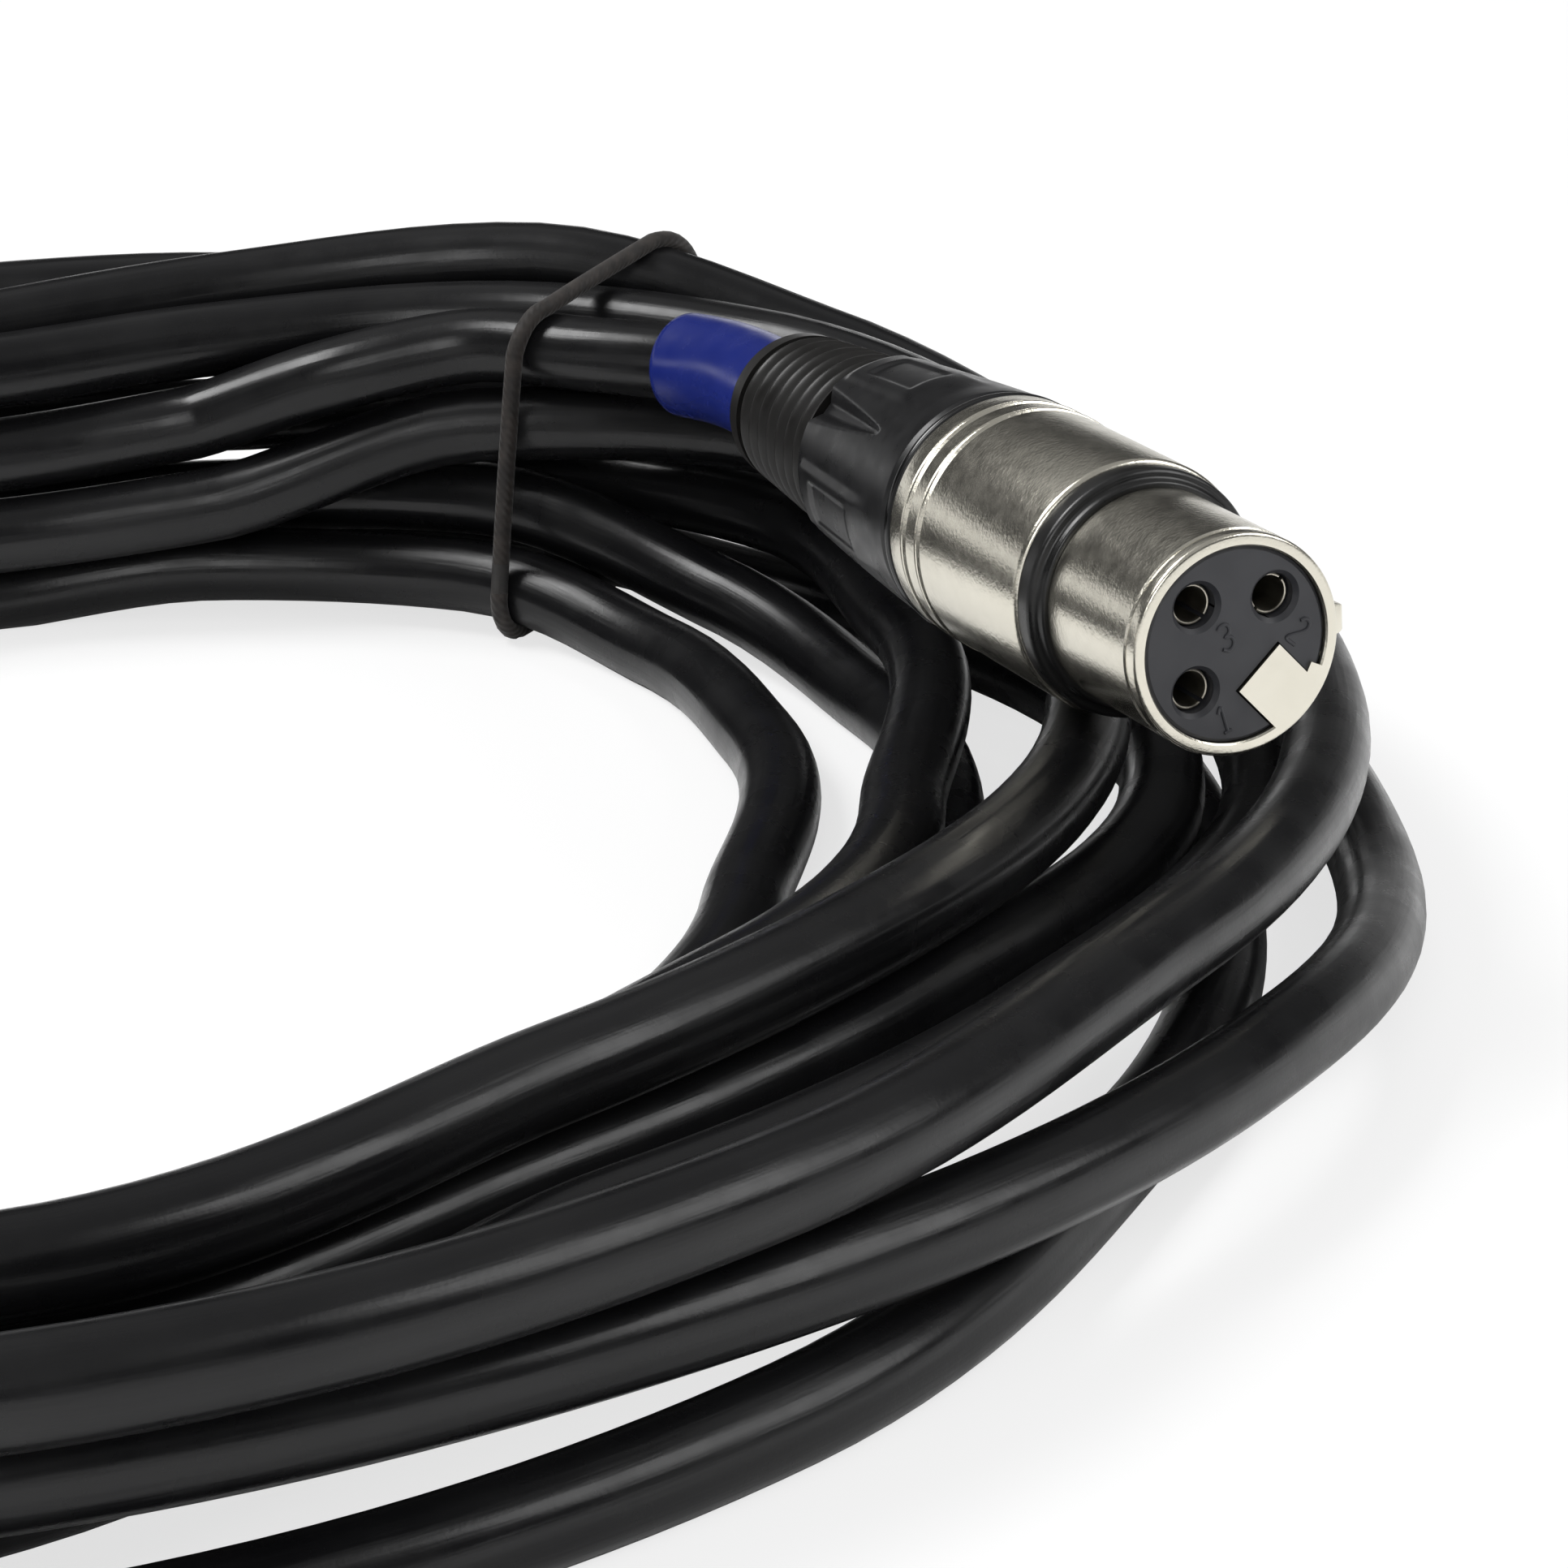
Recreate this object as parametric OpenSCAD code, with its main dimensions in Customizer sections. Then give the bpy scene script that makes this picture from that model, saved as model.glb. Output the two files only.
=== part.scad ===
// Coiled microphone lead: one unbroken cable laid in nine loops and held by an
// elastic tie, with a female three-pole connector on one end and a male one on
// the other. Each connector is built in its own frame, with its mating face at
// z = 0 and its body towards -z, and is then placed on the coil.

/* [Cable] */
// Outside diameter of the cable
cable_d = 6.5; // [5.5:0.1:6.6]
// Free gap between neighbouring strands
strand_gap = 0.5; // [0.5:0.1:1.5]
// Mean radius of the coil's loops
coil_r = 80; // [76:1:110]
// How much longer than round the loops are, at each end
coil_oval = 9; // [4:1:9]
// Outside diameter of each wire inside the cable
core_d = 1.6; // [1.2:0.1:1.8]

/* [Tie] */
// Thickness of the elastic tie
tie_d = 1.2; // [0.8:0.1:1.6]
// Slack between the tie and the strands that it holds
tie_slack = 0.35; // [0.2:0.05:0.5]

/* [Connector shell] */
// Radius of the metal shell
shell_r = 9.5; // [9.2:0.1:11]
// Length of the metal shell
shell_len = 36; // [34:1:44]
// Radius of the female nose
nose_r = 8; // [7.8:0.1:8.1]
// Length of the female nose, up to its rubber ring
nose_len = 13; // [12.5:0.5:15]
// Width of the rubber ring round the nose
ring_w = 2.3; // [1.2:0.1:2.5]
// Radius of the plastic insert
insert_r = 7; // [6.9:0.05:7]
// Length of the plastic insert
insert_len = 25; // [24:1:28]
// Width of the metal key beside the insert's face
key_w = 4.3; // [3.6:0.1:4.6]
// Distance from the axis to the inner end of the metal key
key_in = 2.6; // [2.4:0.1:3.4]
// Radius of the male shell's cavity
cavity_r = 8.2; // [8.2:0.05:8.4]
// Depth of the male shell's cavity
cavity_len = 15.5; // [14:0.5:16]

/* [Contacts] */
// Radius of the circle on which the three contacts stand
contact_circle_r = 4.3; // [4.2:0.05:4.4]
// Radius of a male pin
pin_r = 1.2; // [1:0.05:1.2]
// Wall of a female contact
contact_wall = 0.25; // [0.2:0.05:0.3]
// Length of a female contact
contact_len = 28; // [27:1:32]
// How far the pins stay back from the mouth of the male shell
pin_setback = 2.5; // [1.5:0.5:4]

/* [Latch] */
// Width of the latch lever
latch_w = 4; // [3:0.2:4]
// How far the latch's tooth stands out of the nose
tooth_h = 1.2; // [0.8:0.1:1.2]
// Distance from the face to the latch's hinge pin
latch_pivot = 27; // [26:0.5:28]
// Radius of the latch's hinge pin
latch_pin_r = 0.6; // [0.5:0.05:0.7]

/* [Back nut and boot] */
// Length of the knurled back nut
nut_len = 20; // [19:1:26]
// Radius of the back nut's rear end
nut_rear_r = 8; // [7.8:0.1:8.6]
// Length of the boot behind the nut
boot_len = 18; // [16:1:24]
// Radius of the boot's rear end
boot_rear_r = 6.2; // [5.8:0.1:6.6]
// Number of rings round the boot
boot_rings = 7; // [4:1:8]
// Flutes, and as many grip windows, round the nut
nut_flutes = 4; // [3:1:5]
// Wall of the coloured sleeve
sleeve_wall = 1.2; // [0.6:0.1:1.3]

/* [Hidden] */

$fn = 64;
eps = 0.01;
fit_gap = 0.1;            // radial gap of a turning or screwed fit
seat_gap = 0.05;          // gap between a part and its seat
cable_r = cable_d / 2;
pitch = cable_d + strand_gap;
lay_z = 0.4 * cable_d;    // the lowest strands are cut flat a tenth of the cord deep

// ---- coil -------------------------------------------------------------------
// Each row is a station round the coil, clockwise from its right end. It gives,
// for the nine loops in turn, how far the strand lies outside the mean loop, in
// millimetres at a strand pitch of 7, and the layer that it lies in. The tenth
// strand of the first three stations is the end that leads to the female connector.
drawn_pitch = 7;
STATIONS = [
    [-65, [[9.8, 0], [14, 0.95], [18, 0], [6, 0.95], [15.5, 2], [25.5, 0],
           [23.3, 3.35], [15.8, 3.2], [8.8, 2.95], [8, 1.9]]],
    [-50, [[8.3, 0.3], [13.5, 0.98], [20.5, 0.6], [5, 1.22], [16.1, 1.95], [27.4, 0],
           [27, 3.2], [19.3, 3.5], [12.2, 3.1], [8, 2.22]]],
    [-35, [[5.4, 0.3], [9.3, 1.15], [16.3, 1.27], [7.2, 2.2], [15, 2.28], [18.5, 0.3],
           [25.6, 2.85], [22.2, 3.82], [15.7, 3.28], [8, 3.2]]],
    [-20, [[-4, 0], [5, 0.4], [12, 1.2], [9, 2.35], [17, 2.3], [15.5, 0],
           [25, 1.7], [22.5, 3], [12, 3.35]]],
    [-5, [[-16, 0], [-3, 0], [-1, 1], [7, 1.9], [14, 1.4], [12, 0],
           [22, 1], [20, 2.2], [9, 3]]],
    [25, [[-30, 0], [-15, 0], [-18, 1], [1.8, 0.95], [9.8, 1], [6, 0],
           [18, 0.2], [14, 1.9], [-4, 1.95]]],
    [55, [[-27, 0], [-10, 0], [-18, 1], [-6, 1], [3, 1], [10, 0],
           [18, 0.9], [12, 2], [-6, 2]]],
    [85, [[-13, 0], [2, 0], [-13, 1], [-4.5, 1], [4, 1], [20, 0],
           [18.5, 1.1], [19, 2.1], [-3, 2]]],
    [115, [[-5, 0], [5, 0], [-4, 1], [4.5, 1], [13, 0.5], [24, 0],
           [20, 1.2], [24, 2.2], [6, 2]]],
    [145, [[2, 0], [9.5, 0], [2, 1], [9.5, 1], [17, 0], [24.5, 0],
           [18, 1], [11.5, 2], [3, 2]]],
    [235, [[2, 0], [9.5, 0], [2, 1.02], [9.5, 1], [17, 0], [24.5, 0],
           [18, 1], [11.5, 2], [3, 2]]],
    [265, [[9, 0.8], [16.5, 0], [-3, 1.5], [13.5, 1.8], [23.7, 0], [27.5, 1.5],
           [20, 2.5], [12, 3], [3.5, 2.4]]]];
loops = 9;
loop_rings = 24;
tie_turn = STATIONS[2][0];
coil_end = 360 * loops + STATIONS[1][0];

function loop_r(turn) = coil_r + coil_oval * cos(2 * turn);
middle = [1.25, -2.77, 0];   // the loops' centre, with the whole coil centred on the origin
function on_coil(turn, out, z) =
    middle + [(loop_r(turn) + out) * cos(turn), -(loop_r(turn) + out) * sin(turn), z];

// The strand's stations in one list of [turn, out, layer]
knots = [for (k = [0:loops]) for (s = STATIONS) if (k < len(s[1]) && (k < loops || s[0] < 0))
    [360 * k + s[0], s[1][k][0], s[1][k][1]]];
function rise(i, c) = (knots[i + 1][c] - knots[i][c]) / (knots[i + 1][0] - knots[i][0]);
function harmonic(a, b) = a * b > 0 ? 2 * a * b / (a + b) : 0;
function slope(i, c) = i == 0 || i == len(knots) - 1 ? 0 : harmonic(rise(i - 1, c), rise(i, c));
function knot_before(turn) = min(len([for (k = knots) if (k[0] <= turn) 1]), len(knots) - 1) - 1;

// Smooth value between two stations, without running past either of them
function ease(i, c, t, w) =
    (2 * t^3 - 3 * t^2 + 1) * knots[i][c] + (t^3 - 2 * t^2 + t) * w * slope(i, c)
    + (3 * t^2 - 2 * t^3) * knots[i + 1][c] + (t^3 - t^2) * w * slope(i + 1, c);
function lane_at(i, turn) =
    let (w = knots[i + 1][0] - knots[i][0], t = (turn - knots[i][0]) / w)
    on_coil(turn, ease(i, 1, t, w) * pitch / drawn_pitch, lay_z + ease(i, 2, t, w) * pitch);
function strand(turn) = lane_at(knot_before(turn), turn);

// ---- where the connectors lie ---------------------------------------------------
nut_z = -shell_len - 0.2;
boot_z = nut_z - nut_len - fit_gap;
boot_end = boot_z - boot_len;

// The female connector lies across the strands, carried by the ninth loop
female_yaw = 258.9;
female_tilt = 1.9;
female_seat = 28;         // distance from the face to the strand that carries it
female_seat_layer = 1.9;
female_at = middle + [67.5, -58.9, lay_z + female_seat_layer * pitch + cable_r + 0.25 + shell_r
    + female_seat * sin(female_tilt)];

// The male connector lies on top of the coil's left end
male_yaw = 259;
male_seat_layer = 2;
male_at = middle + [-92, -50, lay_z + male_seat_layer * pitch + cable_r + 0.25 + shell_r];

// A point at depth s behind a connector's face
function behind(at, yaw, tilt, s) = at - s * [cos(yaw) * cos(tilt), sin(yaw) * cos(tilt), sin(tilt)];
function female_axis(s) = behind(female_at, female_yaw, female_tilt, s);
function male_axis(s) = behind(male_at, male_yaw, 0, s);

// ---- route of the cable ---------------------------------------------------------
lead_start = 42;          // depth at which a lead starts, inside the clamp
clamp_mid = 56;
coil_first = STATIONS[0][0];
coil_points = [for (turn = [coil_first:360 / loop_rings:coil_end + eps]) strand(turn)];
stub = 2.5;               // a lead leaves the coil straight over this length
// From the coil's end, under the tie, round and into the female connector
female_route = concat(
    [strand(coil_end), strand(coil_end) + stub * unit(strand(coil_end) - strand(coil_end - 15))],
    [on_coil(tie_turn - 7.5, 6.0, 22.6), strand(360 * loops + tie_turn)],
    [for (p = [[79.8, 44.2, 25.3], [83.2, 35, 26.1], [84.2, 27.5, 26.8]]) middle + p],
    [for (s = [-boot_end + 8, -boot_end + 1, clamp_mid, lead_start]) female_axis(s)]);
// From the male connector, down inside the loops and out to the coil's start
MALE_LEAD = [[204, -8, 28.8], [215, -9, 26.5], [226, -9.5, 23.3], [238, -10, 19], [250, -10, 14],
    [260, -9.3, 9.5], [270, -7, 6], [280, -2.5, 3.7], [288, 4, 2.8]];
male_route = concat(
    [for (s = [lead_start, clamp_mid, -boot_end + 1, -boot_end + 8]) male_axis(s)],
    [for (m = MALE_LEAD) on_coil(m[0], m[1], m[2])],
    [strand(coil_first) - stub * unit(strand(coil_first + 15) - strand(coil_first)), strand(coil_first)]);

// ---- tubes ----------------------------------------------------------------------
function unit(v) = v / norm(v);
function heading(p, i, closed) =
    let (n = len(p), a = closed ? (i + n - 1) % n : max(i - 1, 0), b = closed ? (i + 1) % n : min(i + 1, n - 1))
    unit(p[b] - p[a]);
up = [0, 0, 1];
// One ring of corners round point i, kept above the surface that the coil lies on
function ring_of(p, i, r, sides, closed, ref) =
    let (h = heading(p, i, closed), s = unit(cross(ref, h)), u = cross(h, s))
    [for (k = [0:sides - 1]) let (a = 360 * k / sides, q = p[i] + r * (cos(a) * s + sin(a) * u))
        [q[0], q[1], max(q[2], 0)]];
function skin(rows, sides, flip) =
    [for (i = [0:rows - 2]) for (k = [0:sides - 1])
        let (a = i * sides + k, b = i * sides + (k + 1) % sides, c = b + sides, d = a + sides)
        each (flip ? [[a, c, b], [a, d, c]] : [[a, b, c], [a, c, d]])];

// A solid tube through points p[first] to p[last]
module cord(p, first, last, r, sides) {
    rings = [for (i = [first:last]) each ring_of(p, i, r, sides, false, up)];
    rows = last - first + 1;
    caps = [for (k = [1:sides - 2]) [0, k + 1, k],
            for (k = [1:sides - 2]) [0, k, k + 1] + (rows - 1) * sides * [1, 1, 1]];
    polyhedron(points = rings, faces = concat(skin(rows, sides, true), [for (f = caps) [f[0], f[2], f[1]]]));
}

// A closed band through all the points, in a plane that ref stands square to
module band(p, r, sides, ref) {
    n = len(p);
    rings = [for (i = [0:n - 1]) each ring_of(p, i, r, sides, true, ref)];
    wrap = [for (f = skin(n + 1, sides, true)) [for (v = f) v % (n * sides)]];
    polyhedron(points = rings, faces = wrap);
}

// A hollow tube through points p[first] to p[last]
module hollow_cord(p, first, last, r_out, r_in, sides) {
    rows = last - first + 1;
    outer = [for (i = [first:last]) each ring_of(p, i, r_out, sides, false, up)];
    inner = [for (i = [first:last]) each ring_of(p, i, r_in, sides, false, up)];
    m = rows * sides;
    e = (rows - 1) * sides;
    ends = [for (k = [0:sides - 1]) let (j = (k + 1) % sides)
        each [[k, j, m + j], [k, m + j, m + k], [e + k, m + e + j, e + j], [e + k, m + e + k, m + e + j]]];
    polyhedron(points = concat(outer, inner),
        faces = concat(skin(rows, sides, true), [for (f = skin(rows, sides, false)) f + m * [1, 1, 1]],
            [for (f = ends) f]));
}

// ---- least gap of the coil to itself ----------------------------------------------
function to_segment(q, a, b) = let (d = b - a, t = max(0, min(1, (q - a) * d / (d * d)))) norm(q - a - t * d);
coil_gap = min([for (i = [0:len(coil_points) - 1]) for (j = [i + 6:1:len(coil_points) - 2])
    if (abs(coil_points[i][0] - coil_points[j][0]) + abs(coil_points[i][1] - coil_points[j][1]) < 60)
        to_segment(coil_points[i], coil_points[j], coil_points[j + 1])]) - cable_d;
echo(coil_least_gap = coil_gap);
route_points = concat(male_route, coil_points, female_route);
echo(cable_length = [for (i = 1, sum = 0; i < len(route_points); sum = sum
    + norm(route_points[i] - route_points[i - 1]), i = i + 1) sum][len(route_points) - 2]);

module cable_coil() {
    color("#151517") cord(coil_points, 0, len(coil_points) - 1, cable_r, 6);
}
module female_lead() {
    color("#151517") cord(female_route, 0, len(female_route) - 1, cable_r, 8);
}
module male_lead() {
    color("#151517") cord(male_route, 0, len(male_route) - 1, cable_r, 8);
}

// ---- tie ------------------------------------------------------------------------
// It runs round the outermost strands of the bundle, on a slant: the outer and
// upper strands meet it a little further round the coil than the inner ones.
outer_loops = [0, 5, 6, 7, 9];       // in order round the bundle, from its lower inner corner
tie_slant = [3, 4, 7, 6.5, 0];       // extra turn at which each of them meets the tie
lead_under_tie = female_route[3] + 0.6 * (female_route[4] - female_route[3]);
lead_turn = -atan2(lead_under_tie[1] - middle[1], lead_under_tie[0] - middle[0]);
// The strand's middle between two of its rings
function on_rings(turn) = let (u = (turn - coil_first) * loop_rings / 360, i = floor(u))
    coil_points[i] + (u - i) * (coil_points[i + 1] - coil_points[i]);
tie_reach = cable_r + tie_d / 2 + tie_slack;
function section(turn, p) = [norm([p[0] - middle[0], p[1] - middle[1]]) - loop_r(turn), p[2]];
tie_at = [for (i = [0:len(outer_loops) - 1])
    let (on_lead = outer_loops[i] == loops,
        turn = on_lead ? lead_turn : 360 * outer_loops[i] + tie_turn + tie_slant[i])
    concat(section(turn, on_lead ? lead_under_tie : on_rings(turn)), [turn])];
function flat_normal(a, b) = let (d = unit([b[0] - a[0], b[1] - a[1]])) [d[1], -d[0]];
tie_points = [for (i = [0:len(tie_at) - 1])
    let (n = len(tie_at), a = tie_at[(i + n - 1) % n], b = tie_at[i], c = tie_at[(i + 1) % n],
        n0 = flat_normal(a, b), n1 = flat_normal(b, c))
    for (t = [0:0.25:1])
        let (m = unit((1 - t) * n0 + t * n1))
        on_coil(b[2], b[0] + tie_reach * m[0], max(b[1] + tie_reach * m[1], 0))];

module coil_tie() {
    color("#1c1512") band(tie_points, tie_d / 2, 8, [-sin(tie_turn), -cos(tie_turn), 0]);
}

// ---- connector parts shared by both ends -------------------------------------------
module female_place() {
    translate(female_at) rotate([0, -female_tilt, female_yaw]) rotate([90, 0, 90]) children();
}
module male_place() {
    translate(male_at) rotate([0, 0, male_yaw]) rotate([90, 0, 90]) children();
}

// A tube from z = top down to z = bottom
module tube(r_out, r_in, top, bottom) {
    translate([0, 0, bottom]) difference() {
        cylinder(r = r_out, h = top - bottom);
        translate([0, 0, -1]) cylinder(r = r_in, h = top - bottom + 2);
    }
}

spigot_r = shell_r - 1.2;
spigot_len = 8;
rear_bore_r = spigot_r - 0.9;
groove_at = [31.2, 33.4];
groove_w = 0.6;
groove_deep = 0.25;
edge = 0.4;

// The shell's outside, from its shoulder to its screwed rear spigot
module shell_outside(shoulder) {
    rotate_extrude() polygon([[0, -shoulder], [shell_r - edge, -shoulder], [shell_r, -shoulder - edge],
        for (g = groove_at) each [[shell_r, -g], [shell_r - groove_deep, -g - groove_w / 4],
            [shell_r - groove_deep, -g - groove_w * 3 / 4], [shell_r, -g - groove_w]],
        [shell_r, -shell_len], [spigot_r, -shell_len], [spigot_r, -shell_len - spigot_len],
        [0, -shell_len - spigot_len]]);
}

// The bore is plain down to the insert's rear, and wider behind it for the clamp
module shell_bore(depth) {
    translate([0, 0, -depth]) cylinder(r = insert_r + seat_gap, h = depth + 1);
    translate([0, 0, -shell_len - spigot_len - 1]) cylinder(r = rear_bore_r, h = shell_len + spigot_len + 1 - depth);
}

// ---- back nut, boot, clamp, sleeve and wires ---------------------------------------
nut_bore_r = spigot_r + fit_gap;
nut_bore_len = 10;
flange_r = nut_rear_r - 0.9;
flange_wall = 0.9;
flute_turn = 50;
window_turn = 12;
flute_r = 1.5;
flute_deep = 0.55;
window_w = 4.4;
window_deep = 0.42;
window_from = nut_len * 0.36;
window_to = nut_len * 0.86;
// The nut's outside as [radius, depth behind its front]
nut_outside = [[shell_r, 0], [shell_r + 0.1, 0.5], [shell_r - 0.1, 2],
    [(shell_r + nut_rear_r) / 2 + 0.1, nut_len * 0.55], [nut_rear_r + 0.1, nut_len * 0.9], [nut_rear_r, nut_len]];
function nut_r(d) = lookup(d, [for (p = nut_outside) [p[1], p[0]]]);

module back_nut() {
    color("#1d1d1f") difference() {
        rotate_extrude() polygon(concat([[nut_bore_r, nut_z]], [for (p = nut_outside) [p[0], nut_z - p[1]]],
            [[flange_r + fit_gap, nut_z - nut_len], [flange_r + fit_gap, nut_z - nut_bore_len],
             [nut_bore_r, nut_z - nut_bore_len]]));
        for (k = [0:nut_flutes - 1]) {
            rotate([0, 0, flute_turn + 360 * k / nut_flutes])
                translate([nut_rear_r - flute_deep + flute_r, 0, nut_z - nut_len])
                rotate([0, 9.5, 0]) translate([0, 0, -2]) cylinder(r1 = flute_r, r2 = 0.5, h = 15);
            rotate([0, 0, window_turn + 360 * k / nut_flutes]) translate([0, window_w / 2, nut_z]) rotate([90, 0, 0])
                linear_extrude(height = window_w) polygon([
                    [nut_r(window_from) - window_deep, -window_from], [nut_r(window_to) - window_deep, -window_to],
                    [shell_r + 1, -window_to], [shell_r + 1, -window_from]]);
        }
    }
}

boot_bore_r = cable_r + sleeve_wall + 0.4;
boot_flange_len = 9.5;
ring_pitch = (boot_len - 3) / boot_rings;
ring_deep = 0.5;
module boot() {
    taper = (nut_rear_r - boot_rear_r) / boot_len;
    color("#202022") rotate_extrude() polygon(concat(
        [[flange_r - flange_wall, boot_z + boot_flange_len], [flange_r, boot_z + boot_flange_len],
         [flange_r, boot_z]],
        [for (k = [0:boot_rings - 1]) let (z = 0.9 + k * ring_pitch)
            each [[nut_rear_r - taper * z, boot_z - z], [nut_rear_r - taper * z - ring_deep, boot_z - z - 0.15],
                [nut_rear_r - taper * z - ring_deep, boot_z - z - 0.7], [nut_rear_r - taper * z, boot_z - z - 0.85]]],
        [[boot_rear_r, boot_end + 0.5], [boot_rear_r - 0.5, boot_end], [boot_bore_r + 0.3, boot_end],
         [boot_bore_r, boot_end + 1], [boot_bore_r, boot_z - 2], [flange_r - flange_wall, boot_z]]));
}

clamp_front = shell_len + 2;
clamp_step = nut_bore_len + shell_len - 1;
clamp_rear = nut_len + shell_len - 1;
clamp_tip_r = flange_r - flange_wall - 0.3;
clamp_slits = 4;
slit_w = 0.8;
module clamp() {
    color("#2a2a2c") difference() {
        rotate_extrude() polygon([[cable_r, -clamp_front], [rear_bore_r - seat_gap, -clamp_front],
            [rear_bore_r - seat_gap, -clamp_step], [clamp_tip_r, -clamp_step], [clamp_tip_r - 1, -clamp_rear],
            [cable_r, -clamp_rear]]);
        for (k = [0:clamp_slits - 1])
            rotate([0, 0, 45 + 360 * k / clamp_slits]) translate([0, -slit_w / 2, -clamp_rear - 1])
                cube([rear_bore_r, slit_w, clamp_rear - clamp_step + 1]);
    }
}

// Three wires from the cable's end to the solder cups
contact_angles = [-135, 45, 135];
function contact_at(k) = contact_circle_r * [cos(contact_angles[k]), sin(contact_angles[k])];
core_from = -lead_start + seat_gap;
function core_route(k, mirror_x, cup_z) = let (c = contact_at(k), x = mirror_x ? -c[0] : c[0])
    [[x, c[1], cup_z], [x, c[1], cup_z - cup_len - 0.3],
     [x * 0.75, c[1] * 0.75, (cup_z - cup_len + core_from) / 2],
     [x * 0.45, c[1] * 0.45, core_from - eps + 2], [x * 0.45, c[1] * 0.45, core_from]];
core_colors = ["#b8b8b8", "#c02020", "#e8e8e8"];
module cores(mirror_x, cup_z) {
    for (k = [0:2])
        color(core_colors[k]) core_wire(core_route(k, mirror_x, cup_z));
}
module core_wire(p) {
    rings = [for (q = p) each [for (a = [0:60:300]) q + core_d / 2 * [cos(a), sin(a), 0]]];
    rows = len(p);
    caps = [for (k = [1:4]) each [[0, k, k + 1], [0, k + 1, k] + (rows - 1) * 6 * [1, 1, 1]]];
    polyhedron(points = rings, faces = concat(skin(rows, 6, false), [for (f = caps) [f[0], f[2], f[1]]]));
}

// ---- female connector ---------------------------------------------------------------
latch_turn = 3;
latch_gap = 0.2;
ring_under = 0.1;         // the nose is this much slimmer under its rubber ring
// The lever's flat top clears the rubber ring at its edges
latch_top = sqrt(pow(nose_r - ring_under - seat_gap, 2) - pow(latch_w / 2, 2));
latch_bottom = insert_r + seat_gap + 0.05;
latch_front = 0.7;
tooth_from = 1.2;         // distance from the face to the tooth, and the tooth's length and width
tooth_len = 1.5;
tooth_w = 2.8;
rim = 0.5;                // metal left in front of the latch's slot
latch_rear = latch_pivot + 1.6;
latch_pin_x = (shell_r + insert_r) / 2;
latch_pin_half = 4.5;
pad_h = 0.7;
pad_from = nose_len + ring_w + 2;
pad_to = latch_pivot - 2;
insert_slot_r = insert_r - 1.7;
key_turn = -46;

module female_shell() {
    shoulder = nose_len + ring_w;
    color("#b9b4a8") female_place() difference() {
        union() {
            difference() {
                union() {
                    rotate_extrude() polygon([[0, 0], [nose_r - 0.35, 0], [nose_r, -0.35], [nose_r, -1],
                        [nose_r - 0.15, -1.15], [nose_r - 0.15, -1.5], [nose_r, -1.65], [nose_r, -nose_len],
                        [nose_r - ring_under, -nose_len], [nose_r - ring_under, -shoulder - 1], [0, -shoulder - 1]]);
                    shell_outside(shoulder);
                }
                shell_bore(insert_len + 1);
            }
            // key between contacts 1 and 2, flush with the rim
            rotate([0, 0, key_turn]) intersection() {
                translate([key_in, -key_w / 2, -insert_len]) cube([nose_r, key_w, insert_len]);
                translate([0, 0, -insert_len]) cylinder(r = insert_r + 0.5, h = insert_len);
            }
        }
        // slot for the latch, and the hole for its pin
        rotate([0, 0, latch_turn]) {
            translate([insert_slot_r, -latch_w / 2 - latch_gap, -latch_rear - latch_gap])
                cube([shell_r, latch_w + 2 * latch_gap, latch_rear + latch_gap - rim]);
            translate([latch_pin_x, latch_pin_half, -latch_pivot]) rotate([90, 0, 0])
                cylinder(r = latch_pin_r, h = 2 * latch_pin_half);
        }
    }
}

module female_nose_ring() {
    color("#111111") female_place() rotate_extrude() polygon([
        [nose_r - ring_under, -nose_len - ring_w], [nose_r - ring_under, -nose_len],
        [nose_r + 0.35, -nose_len], [nose_r + 0.5, -nose_len - 0.3], [shell_r - 0.7, -nose_len - 0.6],
        [shell_r - 0.3, -nose_len - 1], [shell_r - 0.3, -nose_len - ring_w]]);
}

insert_face = 0.25;       // the insert's face lies this far behind the rim
contact_r = pin_r + 0.05 + contact_wall;
contact_hole_r = contact_r + 0.1;
contact_front = 1.2;

module female_insert() {
    color("#404046") female_place() difference() {
        translate([0, 0, -insert_len]) cylinder(r = insert_r, h = insert_len - insert_face);
        for (k = [0:2]) translate([contact_at(k)[0], contact_at(k)[1], -insert_len - 1])
            cylinder(r = contact_hole_r, h = insert_len + 2);
        rotate([0, 0, key_turn]) translate([key_in - seat_gap, -key_w / 2 - seat_gap, -insert_len - 1])
            cube([insert_r, key_w + 2 * seat_gap, insert_len + 2]);
        rotate([0, 0, latch_turn])
            translate([insert_slot_r, -latch_w / 2 - latch_gap, -insert_len - 1])
            cube([insert_r, latch_w + 2 * latch_gap, insert_len + 1 - rim]);
        rotate([0, 0, tab_turn]) translate([tab_x - seat_gap, -tab_w / 2 - seat_gap, -insert_len - 1])
            cube([insert_r, tab_w + 2 * seat_gap, tab_sunk + 1]);
    }
}

// A contact is a bored pin whose rear end is cut away to a solder cup
module female_contact(k) {
    color("#c9a24a") female_place() translate([contact_at(k)[0], contact_at(k)[1], -contact_front]) difference() {
        translate([0, 0, -contact_len]) cylinder(r = contact_r, h = contact_len);
        translate([0, 0, -contact_bore_len]) cylinder(r = pin_r + 0.05, h = contact_bore_len + 1);
        translate([0, 0, -contact_len - 1]) cylinder(r = core_d / 2 + 0.05, h = cup_len + 1);
        translate([-2 * contact_r, 0, -contact_len - 1]) cube([4 * contact_r, 2 * contact_r, cup_len]);
    }
}
contact_bore_len = 15;
cup_len = 4;              // length of a solder cup

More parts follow.
